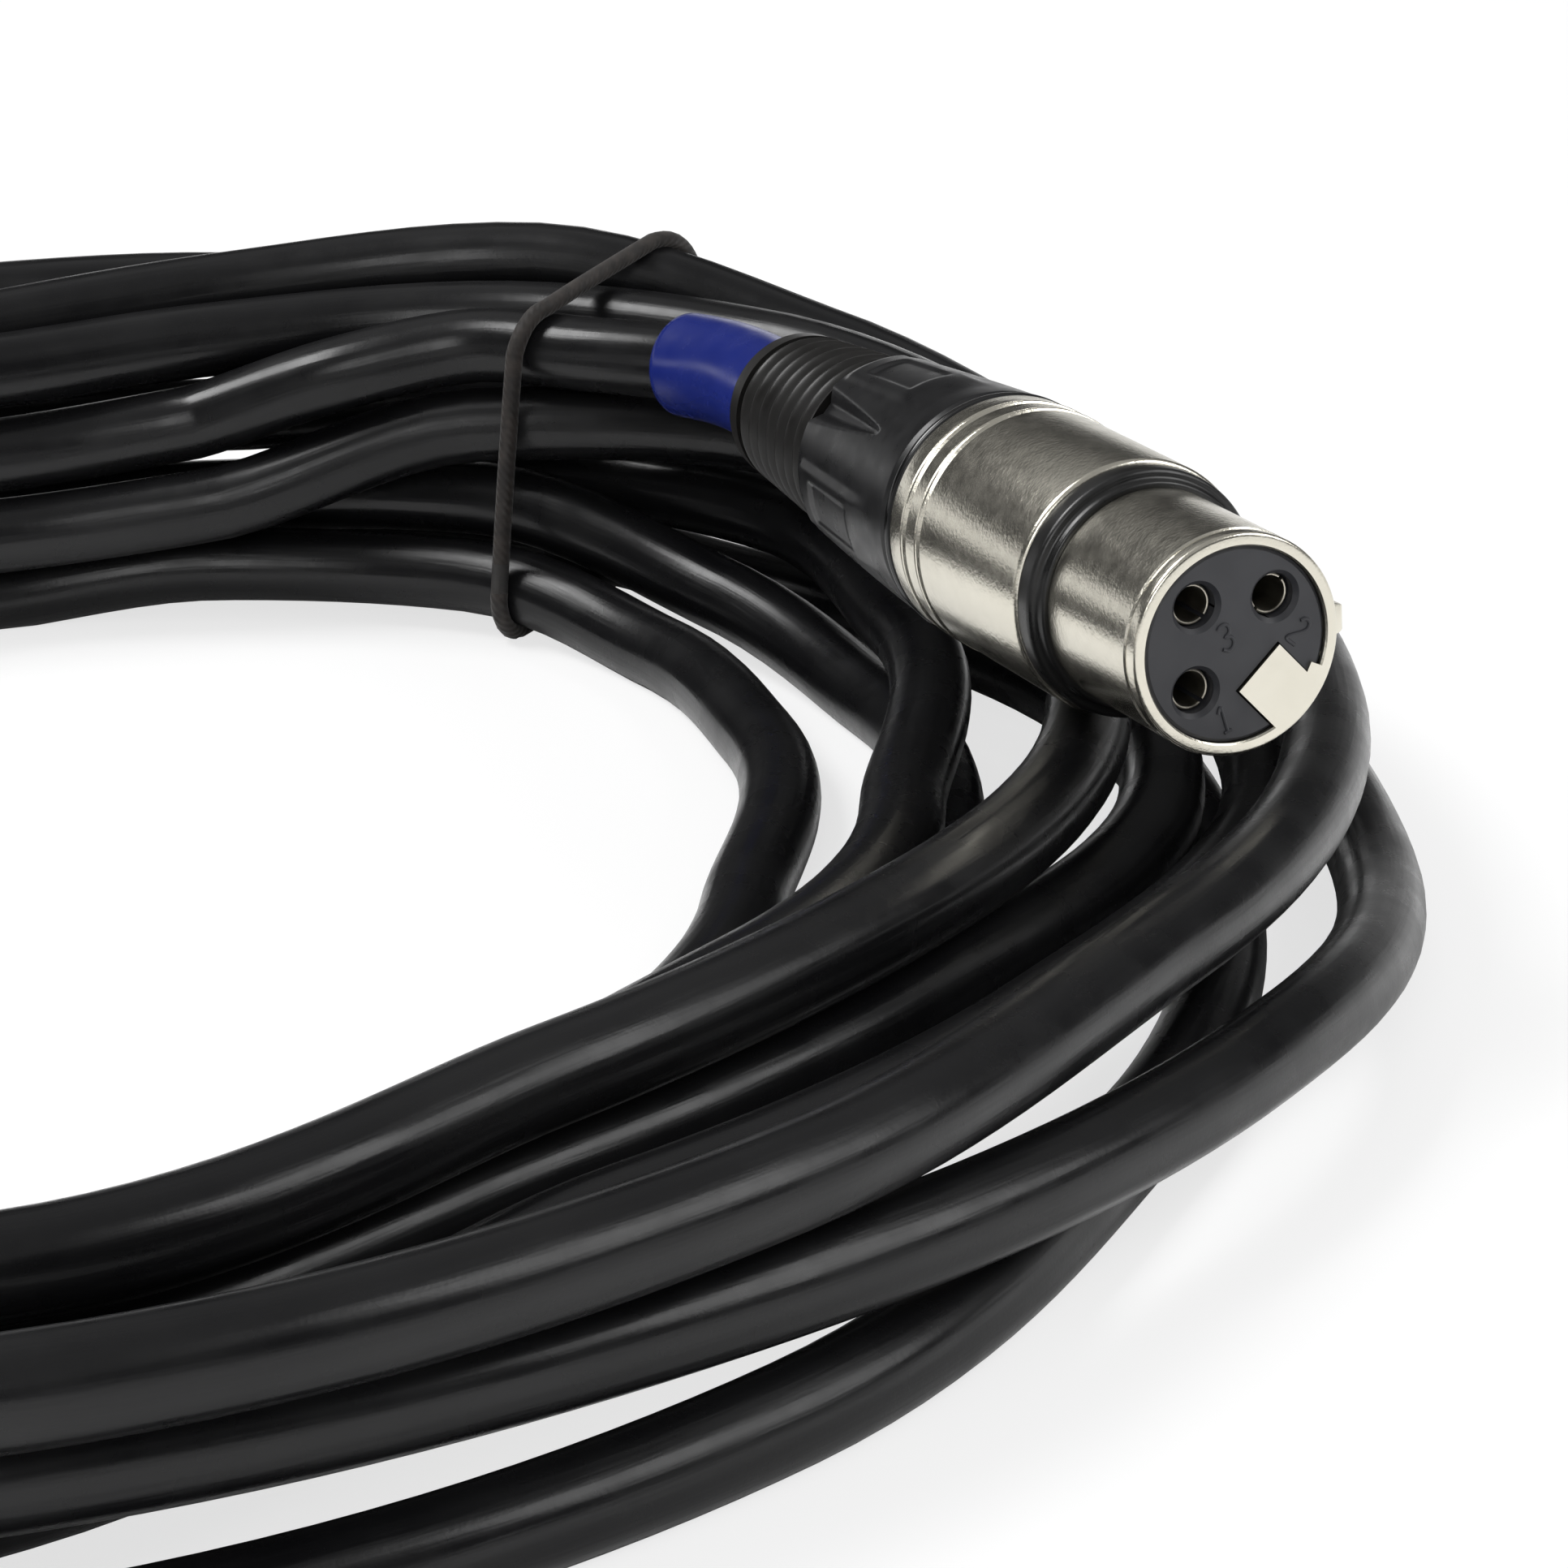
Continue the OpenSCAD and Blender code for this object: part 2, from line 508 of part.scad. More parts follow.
// The lever is pressed in at its pad, turns on its rear pin and draws its tooth in
module female_latch() {
    color("#8f8b82") female_place() rotate([0, 0, latch_turn]) difference() {
        union() {
            translate([latch_bottom, -latch_w / 2, -latch_rear])
                cube([latch_top - latch_bottom, latch_w, latch_rear - latch_front]);
            translate([latch_bottom, -tooth_w / 2, -tooth_from - tooth_len])
                cube([nose_r + tooth_h - latch_bottom, tooth_w, tooth_len]);
            translate([latch_bottom, -latch_w / 2, -latch_rear])
                cube([shell_r - 0.3 - latch_bottom, latch_w, latch_rear - pad_from + 1]);
            translate([latch_bottom, -latch_w / 2, -pad_to])
                cube([shell_r + pad_h - latch_bottom, latch_w, pad_to - pad_from]);
        }
        translate([latch_pin_x, latch_pin_half, -latch_pivot]) rotate([90, 0, 0])
            cylinder(r = latch_pin_r + seat_gap, h = 2 * latch_pin_half);
    }
}

module female_latch_pin() {
    color("#c8c8c8") female_place() rotate([0, 0, latch_turn])
        translate([latch_pin_x, latch_pin_half, -latch_pivot]) rotate([90, 0, 0])
        cylinder(r = latch_pin_r, h = 2 * latch_pin_half);
}

// A folded leaf under the lever: its foot lies on the insert, its tip on the lever
spring_t = 0.2;
spring_w = 2.6;
spring_from = 16;
spring_len = 7;
module female_latch_spring() {
    color("#d0d0d0") female_place() rotate([0, 0, latch_turn])
        translate([0, spring_w / 2, -spring_from]) rotate([90, 0, 0])
        linear_extrude(height = spring_w) polygon([
            [insert_slot_r + seat_gap, 0], [insert_slot_r + seat_gap, -spring_len],
            [insert_slot_r + seat_gap + spring_t, -spring_len], [insert_slot_r + seat_gap + spring_t, -0.6],
            [latch_bottom - seat_gap - spring_t, -spring_len + 0.5], [latch_bottom - seat_gap, -spring_len],
            [latch_bottom - seat_gap, -spring_len + 0.8], [insert_slot_r + seat_gap + 2 * spring_t, 0]]);
}

// Spring strip that ties the shell to the screen: it lies between insert and bore
tab_turn = 200;
tab_w = 3;
tab_t = 0.4;
tab_x = insert_r - 0.6;
tab_sunk = 6;
module female_ground_tab() {
    color("#cfcabd") female_place() rotate([0, 0, tab_turn])
        translate([tab_x, -tab_w / 2, -insert_len - 5]) cube([tab_t, tab_w, tab_sunk + 5 - seat_gap]);
}

female_cup = -contact_front - contact_len + cup_len - seat_gap;
module female_cores() { female_place() cores(false, female_cup); }
module female_clamp() { female_place() clamp(); }
module female_nut() { female_place() back_nut(); }
module female_boot() { female_place() boot(); }

// The coloured sleeve follows the cable out of the boot, and ends between two points of its route
function sleeve_route(inside, route, from, step, share) = let (last = from + 3 * step)
    concat([inside], [for (k = [0:2]) route[from + k * step]],
        [route[last - step] + share * (route[last] - route[last - step])]);
female_sleeve_route = sleeve_route(female_axis(-boot_end - 8), female_route, 8, -1, 0.7);
male_sleeve_route = sleeve_route(male_axis(-boot_end - 8), male_route, 2, 1, 0.4);
module sleeve(p) {
    color("#2a3a9a") hollow_cord(p, 0, len(p) - 1, cable_r + sleeve_wall, cable_r + seat_gap, 8);
}
module female_sleeve() { sleeve(female_sleeve_route); }
module male_sleeve() { sleeve(male_sleeve_route); }

// ---- male connector -----------------------------------------------------------------
window_at = cavity_len - tooth_from - tooth_len - 0.3;
module male_shell() {
    color("#b9b4a8") male_place() difference() {
        shell_outside(0);
        translate([0, 0, -cavity_len]) cylinder(r = cavity_r, h = cavity_len + 1);
        shell_bore(insert_len + 2);
        // window that the female latch's tooth springs into
        rotate([0, 0, 180 - latch_turn]) translate([insert_r, -tooth_w / 2 - 0.5, -window_at - tooth_len - 0.6])
            cube([shell_r, tooth_w + 1, tooth_len + 0.6]);
    }
}

module male_insert() {
    color("#404046") male_place() difference() {
        translate([0, 0, -insert_len]) cylinder(r = insert_r, h = insert_len - cavity_len);
        for (k = [0:2]) translate([-contact_at(k)[0], contact_at(k)[1], -insert_len - 1])
            cylinder(r = pin_body_r, h = insert_len);
    }
}
pin_body_r = contact_r;
pin_tail = cup_len;

module male_pin(k) {
    c = contact_at(k);
    color("#d8d4c8") male_place() translate([-c[0], c[1], 0]) difference() {
        union() {
            translate([0, 0, -cavity_len]) cylinder(r = pin_r, h = cavity_len - pin_setback - pin_r / 2);
            translate([0, 0, -pin_setback - pin_r / 2]) cylinder(r1 = pin_r, r2 = pin_r / 2, h = pin_r / 2);
            translate([0, 0, -insert_len - pin_tail])
                cylinder(r = pin_body_r, h = insert_len + pin_tail - cavity_len);
        }
        translate([0, 0, -insert_len - pin_tail - 1]) cylinder(r = core_d / 2 + 0.05, h = pin_tail + 1);
        translate([-2 * contact_r, 0, -insert_len - pin_tail - 1])
            cube([4 * contact_r, 2 * contact_r, pin_tail]);
    }
}
male_cup = -insert_len - seat_gap;
module male_cores() { male_place() cores(true, male_cup); }
module male_clamp() { male_place() clamp(); }
module male_nut() { male_place() back_nut(); }
module male_boot() { male_place() boot(); }

cable_coil();
female_lead();
male_lead();
coil_tie();
female_shell();
female_nose_ring();
female_insert();
female_contact(0);  // female_contact_1
female_contact(1);  // female_contact_2
female_contact(2);  // female_contact_3
female_latch();
female_latch_pin();
female_latch_spring();
female_ground_tab();
female_cores();
female_clamp();
female_nut();
female_boot();
female_sleeve();
male_shell();
male_insert();
male_pin(0);  // male_pin_1
male_pin(1);  // male_pin_2
male_pin(2);  // male_pin_3
male_cores();
male_clamp();
male_nut();
male_boot();
male_sleeve();
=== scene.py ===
import math

import bmesh
import bpy
from mathutils import Matrix, Vector


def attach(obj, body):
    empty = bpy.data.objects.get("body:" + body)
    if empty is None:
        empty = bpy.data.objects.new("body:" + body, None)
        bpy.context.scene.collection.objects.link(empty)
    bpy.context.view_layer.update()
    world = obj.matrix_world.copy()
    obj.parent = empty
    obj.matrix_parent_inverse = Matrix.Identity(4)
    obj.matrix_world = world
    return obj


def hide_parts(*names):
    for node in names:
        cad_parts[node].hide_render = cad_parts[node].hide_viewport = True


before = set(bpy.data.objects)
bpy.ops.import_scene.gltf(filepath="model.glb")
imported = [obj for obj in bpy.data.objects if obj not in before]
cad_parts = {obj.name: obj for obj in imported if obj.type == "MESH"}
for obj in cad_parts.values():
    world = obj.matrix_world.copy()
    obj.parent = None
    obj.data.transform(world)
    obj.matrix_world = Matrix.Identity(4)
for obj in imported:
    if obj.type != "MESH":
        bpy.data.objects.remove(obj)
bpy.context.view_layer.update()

# The part's lengths are in millimetres, and MM turns them into the frame's metres. The stage's
# lengths are in metres. Turns are in degrees.
MM = 0.001

# ---- camera ----------------------------------------------------------------------------
CAMERA_AT = Vector((-138.25, -303.07, 138.0))
LOOK = Vector((0.5373, 0.7673, -0.3502))
SENSOR = 36.0
LENS_PER_WIDTH = 3.106

camera = bpy.data.objects.new("camera", bpy.data.cameras.new("camera"))
bpy.context.scene.collection.objects.link(camera)
camera.data.sensor_width = SENSOR
camera.data.lens = LENS_PER_WIDTH * SENSOR
camera.data.clip_start = 0.01
camera.data.clip_end = 20.0
camera.location = CAMERA_AT * MM
camera.rotation_mode = "QUATERNION"
camera.rotation_quaternion = LOOK.to_track_quat("-Z", "Y")
bpy.context.scene.camera = camera

# ---- the cable's route, as in the part's source ----------------------------------------
CABLE_D = 6.5
CABLE_R = CABLE_D / 2
PITCH = 7.0                # height of a layer of strands
LAY_Z = 0.4 * CABLE_D      # height of the lowest layer's middle, with the jacket pressed flat
COIL_R = 80.0
COIL_OVAL = 9.0
MIDDLE = Vector((1.25, -2.77, 0.0))
LOOPS = 9
# Stations round the coil: at that turn, for the loops in their order, how far the strand
# lies outside the mean loop, and the layer that it lies in.
STATIONS = [
    (-65, [(9.8, 0), (14, .95), (18, 0), (6, .95), (15.5, 2), (25.5, 0),
           (23.3, 3.35), (15.8, 3.2), (8.8, 2.95), (8, 1.9)]),
    (-50, [(8.3, .3), (13.5, .98), (20.5, .6), (5, 1.22), (16.1, 1.95), (27.4, 0),
           (27, 3.2), (19.3, 3.5), (12.2, 3.1), (8, 2.22)]),
    (-35, [(5.4, .3), (9.3, 1.15), (16.3, 1.27), (7.2, 2.2), (15, 2.28), (18.5, .3),
           (25.6, 2.85), (22.2, 3.82), (15.7, 3.28), (8, 3.2)]),
    (-20, [(-4, 0), (5, .4), (12, 1.2), (9, 2.35), (17, 2.3), (15.5, 0),
           (25, 1.7), (22.5, 3), (12, 3.35)]),
    (-5, [(-16, 0), (-3, 0), (-1, 1), (7, 1.9), (14, 1.4), (12, 0),
          (22, 1), (20, 2.2), (9, 3)]),
    (25, [(-30, 0), (-15, 0), (-18, 1), (1.8, .95), (9.8, 1), (6, 0),
          (18, .2), (14, 1.9), (-4, 1.95)]),
    (55, [(-27, 0), (-10, 0), (-18, 1), (-6, 1), (3, 1), (10, 0),
          (18, .9), (12, 2), (-6, 2)]),
    (85, [(-13, 0), (2, 0), (-13, 1), (-4.5, 1), (4, 1), (20, 0),
          (18.5, 1.1), (19, 2.1), (-3, 2)]),
    (115, [(-5, 0), (5, 0), (-4, 1), (4.5, 1), (13, .5), (24, 0),
           (20, 1.2), (24, 2.2), (6, 2)]),
    (145, [(2, 0), (9.5, 0), (2, 1), (9.5, 1), (17, 0), (24.5, 0),
           (18, 1), (11.5, 2), (3, 2)]),
    (235, [(2, 0), (9.5, 0), (2, 1.02), (9.5, 1), (17, 0), (24.5, 0),
           (18, 1), (11.5, 2), (3, 2)]),
    (265, [(9, .8), (16.5, 0), (-3, 1.5), (13.5, 1.8), (23.7, 0), (27.5, 1.5),
           (20, 2.5), (12, 3), (3.5, 2.4)]),
]
TIE_TURN = -35
COIL_FIRST = -65
COIL_END = 360 * LOOPS - 50
COIL_STEP = 2

KNOTS = [(360 * k + turn,) + lanes[k]
         for k in range(LOOPS + 1) for turn, lanes in STATIONS
         if k < len(lanes) and (k < LOOPS or turn < 0)]


def knot_rise(i, c):
    """Change of column c of KNOTS for each degree, from knot i to the next."""
    return (KNOTS[i + 1][c] - KNOTS[i][c]) / (KNOTS[i + 1][0] - KNOTS[i][0])


def knot_slope(i, c):
    """Slope at knot i: level at a turning point, and never overshooting between knots."""
    if i == 0 or i == len(KNOTS) - 1:
        return 0.0
    a, b = knot_rise(i - 1, c), knot_rise(i, c)
    return 2 * a * b / (a + b) if a * b > 0 else 0.0


def eased(i, c, t, w):
    """Column c at the share t of the w degrees between knot i and the next."""
    return ((2 * t**3 - 3 * t**2 + 1) * KNOTS[i][c]
            + (t**3 - 2 * t**2 + t) * w * knot_slope(i, c)
            + (3 * t**2 - 2 * t**3) * KNOTS[i + 1][c]
            + (t**3 - t**2) * w * knot_slope(i + 1, c))


def loop_r(turn):
    return COIL_R + COIL_OVAL * math.cos(math.radians(2 * turn))


def on_coil(turn, out, z):
    """The point at that turn, so far outside the mean loop and so high."""
    a, r = math.radians(turn), loop_r(turn) + out
    return MIDDLE + Vector((r * math.cos(a), -r * math.sin(a), z))


def strand_lane(turn):
    """How far out and how high the strand lies at that turn."""
    i = 0
    while i < len(KNOTS) - 2 and KNOTS[i + 1][0] <= turn:
        i += 1
    w = KNOTS[i + 1][0] - KNOTS[i][0]
    t = (turn - KNOTS[i][0]) / w
    return eased(i, 1, t, w), LAY_Z + eased(i, 2, t, w) * PITCH


def strand(turn):
    return on_coil(turn, *strand_lane(turn))


# ---- where the connectors lie ----------------------------------------------------------
SHELL_R = 9.5
SHELL_LEN = 36.0
NUT_Z = -SHELL_LEN - 0.2           # the nut's front; the connector's face is at 0
NUT_LEN = 20.0
NUT_REAR_R = 8.0
BOOT_Z = NUT_Z - NUT_LEN - 0.1
BOOT_LEN = 18.0
BOOT_REAR_R = 6.2
BOOT_END = BOOT_Z - BOOT_LEN


class Connector:
    """A connector's own frame: its face is at z = 0 and its body towards -z."""

    def __init__(self, at, yaw, tilt):
        y, t = math.radians(yaw), math.radians(tilt)
        self.at = MIDDLE + Vector(at)
        self.out = Vector((math.cos(y) * math.cos(t), math.sin(y) * math.cos(t), math.sin(t)))
        self.right = Vector((-math.sin(y), math.cos(y), 0))
        self.top = self.out.cross(self.right)

    def axis(self, s):
        """The point on the axis that lies s behind the face."""
        return self.at - self.out * s

    def matrix(self):
        m = Matrix((self.right, self.top, self.out)).transposed().to_4x4()
        m.translation = self.at
        return Matrix.Scale(MM, 4) @ m


FEMALE_YAW, FEMALE_TILT = 258.9, 1.9
MALE_YAW = 259.0
FEMALE_LAYER, MALE_LAYER = 1.9, 2  # the layer of strands that each shell lies on
SHELL_GAP = 0.25                   # between shell and strand
FEMALE_REST = 28                   # how far behind its face the tilted shell rests


def shell_height(layer):
    return LAY_Z + layer * PITCH + CABLE_R + SHELL_GAP + SHELL_R


female = Connector((67.5, -58.9, shell_height(FEMALE_LAYER)
                    + FEMALE_REST * math.sin(math.radians(FEMALE_TILT))), FEMALE_YAW, FEMALE_TILT)
male = Connector((-92, -50, shell_height(MALE_LAYER)), MALE_YAW, 0.0)

# Both leads run on the axis inside the connector, and 8 mm beyond the boot
LEAD_INSIDE, LEAD_CLAMPED = 52.0, 64.0
BEHIND_BOOT = (-BOOT_END + 8, -BOOT_END + 1)
LEAD_AHEAD = LEAD_INSIDE - 10      # gives the line its direction at its end
# turn, way outside the mean loop, height
MALE_LEAD = [on_coil(*p) for p in (
    (204, -8, 28.8), (215, -9, 26.5), (226, -9.5, 23.3), (238, -10, 19), (250, -10, 14),
    (260, -9.3, 9.5), (270, -7, 6), (280, -2.5, 3.7), (288, 4, 2.8))]
# x, y and height beside the coil's middle
FEMALE_LEAD = [MIDDLE + Vector(p)
               for p in ((79.8, 44.2, 25.3), (83.2, 35, 26.1), (84.2, 27.5, 26.8))]

male_points = [male.axis(s) for s in (LEAD_INSIDE, LEAD_CLAMPED) + BEHIND_BOOT[::-1]] + MALE_LEAD
female_points = ([on_coil(TIE_TURN - 7.5, 6.0, 22.6), strand(360 * LOOPS + TIE_TURN)] + FEMALE_LEAD
                 + [female.axis(s) for s in BEHIND_BOOT + (LEAD_CLAMPED, LEAD_INSIDE)])


def smooth(points, before, after, step):
    """Points of a smooth curve through all of them, about that step apart.
    The points before and after set its end directions."""
    p = [before] + list(points) + [after]
    out = []
    for i in range(1, len(p) - 2):
        a, b, c, d = p[i - 1:i + 3]
        ta, tb, tc = ((b - a).length ** 0.5, (c - b).length ** 0.5, (d - c).length ** 0.5)
        m1 = ((b - a) / ta - (c - a) / (ta + tb) + (c - b) / tb) * tb
        m2 = ((c - b) / tb - (d - b) / (tb + tc) + (d - c) / tc) * tb
        n = max(1, round((c - b).length / step))
        for k in range(n):
            t = k / n
            out.append((2 * t**3 - 3 * t**2 + 1) * b + (t**3 - 2 * t**2 + t) * m1
                       + (3 * t**2 - 2 * t**3) * c + (t**3 - t**2) * m2)
    return out + [p[-2]]


LEAD_STEP = 2.0
coil_line = [strand(t) for t in range(COIL_FIRST, COIL_END + 1, COIL_STEP)]
male_line = smooth(male_points + [coil_line[0]], male.axis(LEAD_AHEAD), coil_line[1], LEAD_STEP)
female_line = smooth([coil_line[-1]] + female_points, coil_line[-2], female.axis(LEAD_AHEAD),
                     LEAD_STEP)
cable_line = male_line[:-1] + coil_line + female_line[1:]

MALE_LEAD_POINTS = 80      # at most so many of the line's points belong to the male lead


def on_male_lead(p):
    """Number of the line's point that lies nearest to p."""
    return min(range(MALE_LEAD_POINTS), key=lambda i: (cable_line[i] - p).length)


# The male lead bends gently once it is clear of the boot's travel
CLEAR_OF_BOOT = 3.5
EASE_LENGTH, EASE_ROUNDS = 34, 26      # points of the line, and rounds of smoothing
EASE_IN = 6                            # points over which the smoothing sets in
leaves = on_male_lead(male.axis(-BOOT_END + CLEAR_OF_BOOT))
for k in range(EASE_ROUNDS):
    part = cable_line[leaves:leaves + EASE_LENGTH]
    cable_line[leaves + 1:leaves + EASE_LENGTH - 1] = [
        b.lerp((a + c) / 2, 0.5 * min(1.0, (i + 1) / EASE_IN))
        for i, (a, b, c) in enumerate(zip(part, part[1:], part[2:]))]

# ---- mesh helpers ----------------------------------------------------------------------


def new_object(name, mesh, body, material, node=None):
    """An object of that mesh that rides on body, in the place of node or of a list of nodes."""
    obj = bpy.data.objects.new(name, mesh)
    bpy.context.scene.collection.objects.link(obj)
    obj.data.materials.clear()
    obj.data.materials.append(material)
    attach(obj, body)
    if node:
        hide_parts(*([node] if isinstance(node, str) else node))
    return obj


def shade(mesh, angle=38):
    mesh.polygons.foreach_set("use_smooth", [True] * len(mesh.polygons))
    mesh.set_sharp_from_angle(angle=math.radians(angle))


def grid_mesh(name, rows, closed_rows=False):
    """A skin over closed rings of points, with two caps, or with its last ring on its first."""
    n, k = len(rows), len(rows[0])
    verts = [v for row in rows for v in row]
    faces = []
    last = n if closed_rows else n - 1
    for i in range(last):
        for j in range(k):
            a, b = i * k + j, i * k + (j + 1) % k
            c, d = ((i + 1) % n) * k + (j + 1) % k, ((i + 1) % n) * k + j
            faces.append((a, b, c, d))
    if not closed_rows:
        faces.append(tuple(range(k - 1, -1, -1)))
        faces.append(tuple((n - 1) * k + j for j in range(k)))
    mesh = bpy.data.meshes.new(name)
    mesh.from_pydata([tuple(v) for v in verts], [], faces)
    mesh.validate()
    return mesh


def tube(name, line, radius, sides, floor=None, facing=Vector((0, 0, 1)), closed=False, ends=0.0):
    """A tube along a line of points. Its rings are turned towards facing, which is nowhere
    parallel to the line, and its skin lies no lower than floor. ends rounds its two ends.
    U is the way along it in centimetres, and V its turn."""
    n = len(line)
    rows = []
    run = [0.0]
    for a, b in zip(line, line[1:]):
        run.append(run[-1] + (b - a).length)
    for i, p in enumerate(line):
        if closed:
            h = line[(i + 1) % n] - line[i - 1]
        else:
            h = line[min(i + 1, n - 1)] - line[max(i - 1, 0)]
        h.normalize()
        s = facing.cross(h).normalized()
        u = h.cross(s)
        r = radius
        if ends:
            d = min(run[i], run[-1] - run[i])
            if d < ends:
                r -= ends * (1 - math.sqrt(max(0.0, 1 - (1 - d / ends) ** 2)))
        row = []
        for k in range(sides):
            a = 2 * math.pi * k / sides
            q = p + (s * math.cos(a) + u * math.sin(a)) * r
            if floor is not None:
                q.z = max(q.z, floor)
            row.append(q * MM)
        rows.append(row)
    mesh = grid_mesh(name, rows, closed_rows=closed)
    layer = mesh.uv_layers.new(name="run")
    length = [x / 10 for x in run] + [run[-1] / 10]
    for poly in mesh.polygons:
        wraps = {0, sides - 1} <= {vi % sides for vi in poly.vertices}
        for li, vi in zip(poly.loop_indices, poly.vertices):
            i, k = divmod(vi, sides)
            layer.data[li].uv = (length[min(i, n - 1)], 1.0 if wraps and k == 0 else k / sides)
    shade(mesh, 60)
    return mesh


def lathe(name, profile, steps=144, wave=None):
    """A ring-shaped solid from a closed profile of (radius, z).
    wave(angle, r, z) may change a point's radius."""
    rows = []
    for r, z in profile:
        row = []
        for k in range(steps):
            a = 2 * math.pi * k / steps
            rr = wave(a, r, z) if wave else r
            row.append(Vector((rr * math.cos(a), rr * math.sin(a), z)))
        rows.append(row)
    mesh = grid_mesh(name, rows, closed_rows=True)
    bm = bmesh.new()
    bm.from_mesh(mesh)
    bmesh.ops.recalc_face_normals(bm, faces=bm.faces)
    bm.to_mesh(mesh)
    bm.free()
    return mesh


def prism(name, outline, low, high, turn=0.0, bevel=0.0):
    """outline of (x, y) extruded from z = low to high, turned about z."""
    bm = bmesh.new()
    c, s = math.cos(math.radians(turn)), math.sin(math.radians(turn))
    bottom = [bm.verts.new((x * c - y * s, x * s + y * c, low)) for x, y in outline]
    top = [bm.verts.new((v.co.x, v.co.y, high)) for v in bottom]
    bm.faces.new(bottom[::-1])
    bm.faces.new(top)
    for i in range(len(outline)):
        j = (i + 1) % len(outline)
        bm.faces.new((bottom[i], bottom[j], top[j], top[i]))
    bmesh.ops.recalc_face_normals(bm, faces=bm.faces)
    if bevel:
        bmesh.ops.bevel(bm, geom=list(bm.edges), offset=bevel, segments=2, profile=0.6,
                        affect="EDGES", clamp_overlap=True)
    mesh = bpy.data.meshes.new(name)
    bm.to_mesh(mesh)
    bm.free()
    return mesh


def side_prism(name, outline, half, turn=0.0, bevel=0.0):
    """outline of (x, z) extruded from y = -half to half, turned about z."""
    mesh = prism(name, [(x, -z) for x, z in outline], -half, half, 0.0, bevel)
    m = Matrix.Rotation(math.radians(turn), 4, "Z") @ Matrix(
        ((1, 0, 0, 0), (0, 0, 1, 0), (0, -1, 0, 0), (0, 0, 0, 1)))
    mesh.transform(m)
    return mesh


def rod(name, r, low, high, at=(0, 0), sides=48):
    """A cylinder of radius r from z = low to high."""
    return prism(name, [(at[0] + r * math.cos(2 * math.pi * k / sides),
                         at[1] + r * math.sin(2 * math.pi * k / sides)) for k in range(sides)],
                 low, high)


def cut(mesh, cutters, operation="DIFFERENCE"):
    """mesh less the cutters, or with UNION joined to them, all in the connector's frame."""
    objs = []
    base = bpy.data.objects.new("base", mesh)
    bpy.context.scene.collection.objects.link(base)
    for c in cutters:
        o = bpy.data.objects.new("cutter", c)
        bpy.context.scene.collection.objects.link(o)
        objs.append(o)
        m = base.modifiers.new("cut", "BOOLEAN")
        m.operation, m.solver, m.object = operation, "EXACT", o
    dg = bpy.context.evaluated_depsgraph_get()
    result = bpy.data.meshes.new_from_object(base.evaluated_get(dg))
    for o in objs + [base]:
        bpy.data.objects.remove(o)
    return result


def joined(meshes):
    """One mesh of several, each still closed in itself."""
    bm = bmesh.new()
    for m in meshes:
        bm.from_mesh(m)
    mesh = bpy.data.meshes.new(meshes[0].name)
    bm.to_mesh(mesh)
    bm.free()
    return mesh


def fit(conn, name, mesh, body, material, node=None, angle=38):
    """An object of a mesh that was made in the connector's frame."""
    mesh.transform(conn.matrix())
    shade(mesh, angle)
    return new_object(name, mesh, body, material, node)


# ---- materials -------------------------------------------------------------------------


class Nodes:
    """A material with a principled shader, and the nodes that feed it."""

    NOISE_BAND = (0.35, 0.65)     # where most of a noise's values lie

    def __init__(self, name):
        self.material = bpy.data.materials.new(name)
        self.material.use_nodes = True
        self.tree = self.material.node_tree
        self.shader = self.tree.nodes["Principled BSDF"]
        self.coords = self.add("ShaderNodeTexCoord")

    def add(self, kind, **values):
        node = self.tree.nodes.new(kind)
        for key, value in values.items():
            if hasattr(node, key):
                setattr(node, key, value)
            else:
                node.inputs[key.replace("_", " ")].default_value = value
        return node

    def link(self, a, b):
        self.tree.links.new(a, b)

    def noise(self, scale, detail=3.0, rough=0.5, vector=None):
        node = self.add("ShaderNodeTexNoise", Scale=scale, Detail=detail, Roughness=rough)
        self.link(vector or self.coords.outputs["Object"], node.inputs["Vector"])
        return node.outputs["Fac"]

    def math(self, operation, value, factor=1.0, plus=None):
        """One step of arithmetic; plus is a third input, for MULTIPLY_ADD."""
        node = self.add("ShaderNodeMath", operation=operation)
        self.link(value, node.inputs[0])
        node.inputs[1].default_value = factor
        if plus:
            self.link(plus, node.inputs[2])
        return node.outputs[0]

    def spread(self, value, low, high):
        """A noise's values, spread from low to high."""
        node = self.add("ShaderNodeMapRange")
        band = (*self.NOISE_BAND, low, high)
        for key, v in zip(("From Min", "From Max", "To Min", "To Max"), band):
            node.inputs[key].default_value = v
        self.link(value, node.inputs["Value"])
        return node.outputs["Result"]

    def two_colors(self, value, a, b):
        ramp = self.add("ShaderNodeValToRGB")
        for element, at, color in zip(ramp.color_ramp.elements, self.NOISE_BAND, (a, b)):
            element.position, element.color = at, (*color, 1)
        self.link(value, ramp.inputs["Fac"])
        self.link(ramp.outputs["Color"], self.shader.inputs["Base Color"])

    def rough(self, value, low, high):
        self.link(self.spread(value, low, high), self.shader.inputs["Roughness"])

    def bump(self, *layers):
        """layers of (height, distance in millimetres)."""
        normal = None
        for height, distance in layers:
            node = self.add("ShaderNodeBump")
            node.inputs["Strength"].default_value = 1.0
            node.inputs["Distance"].default_value = distance * MM
            self.link(height, node.inputs["Height"])
            if normal:
                self.link(normal, node.inputs["Normal"])
            normal = node.outputs["Normal"]
        self.link(normal, self.shader.inputs["Normal"])

    def set(self, **values):
        for key, value in values.items():
            self.shader.inputs[key.replace("_", " ")].default_value = value
        return self


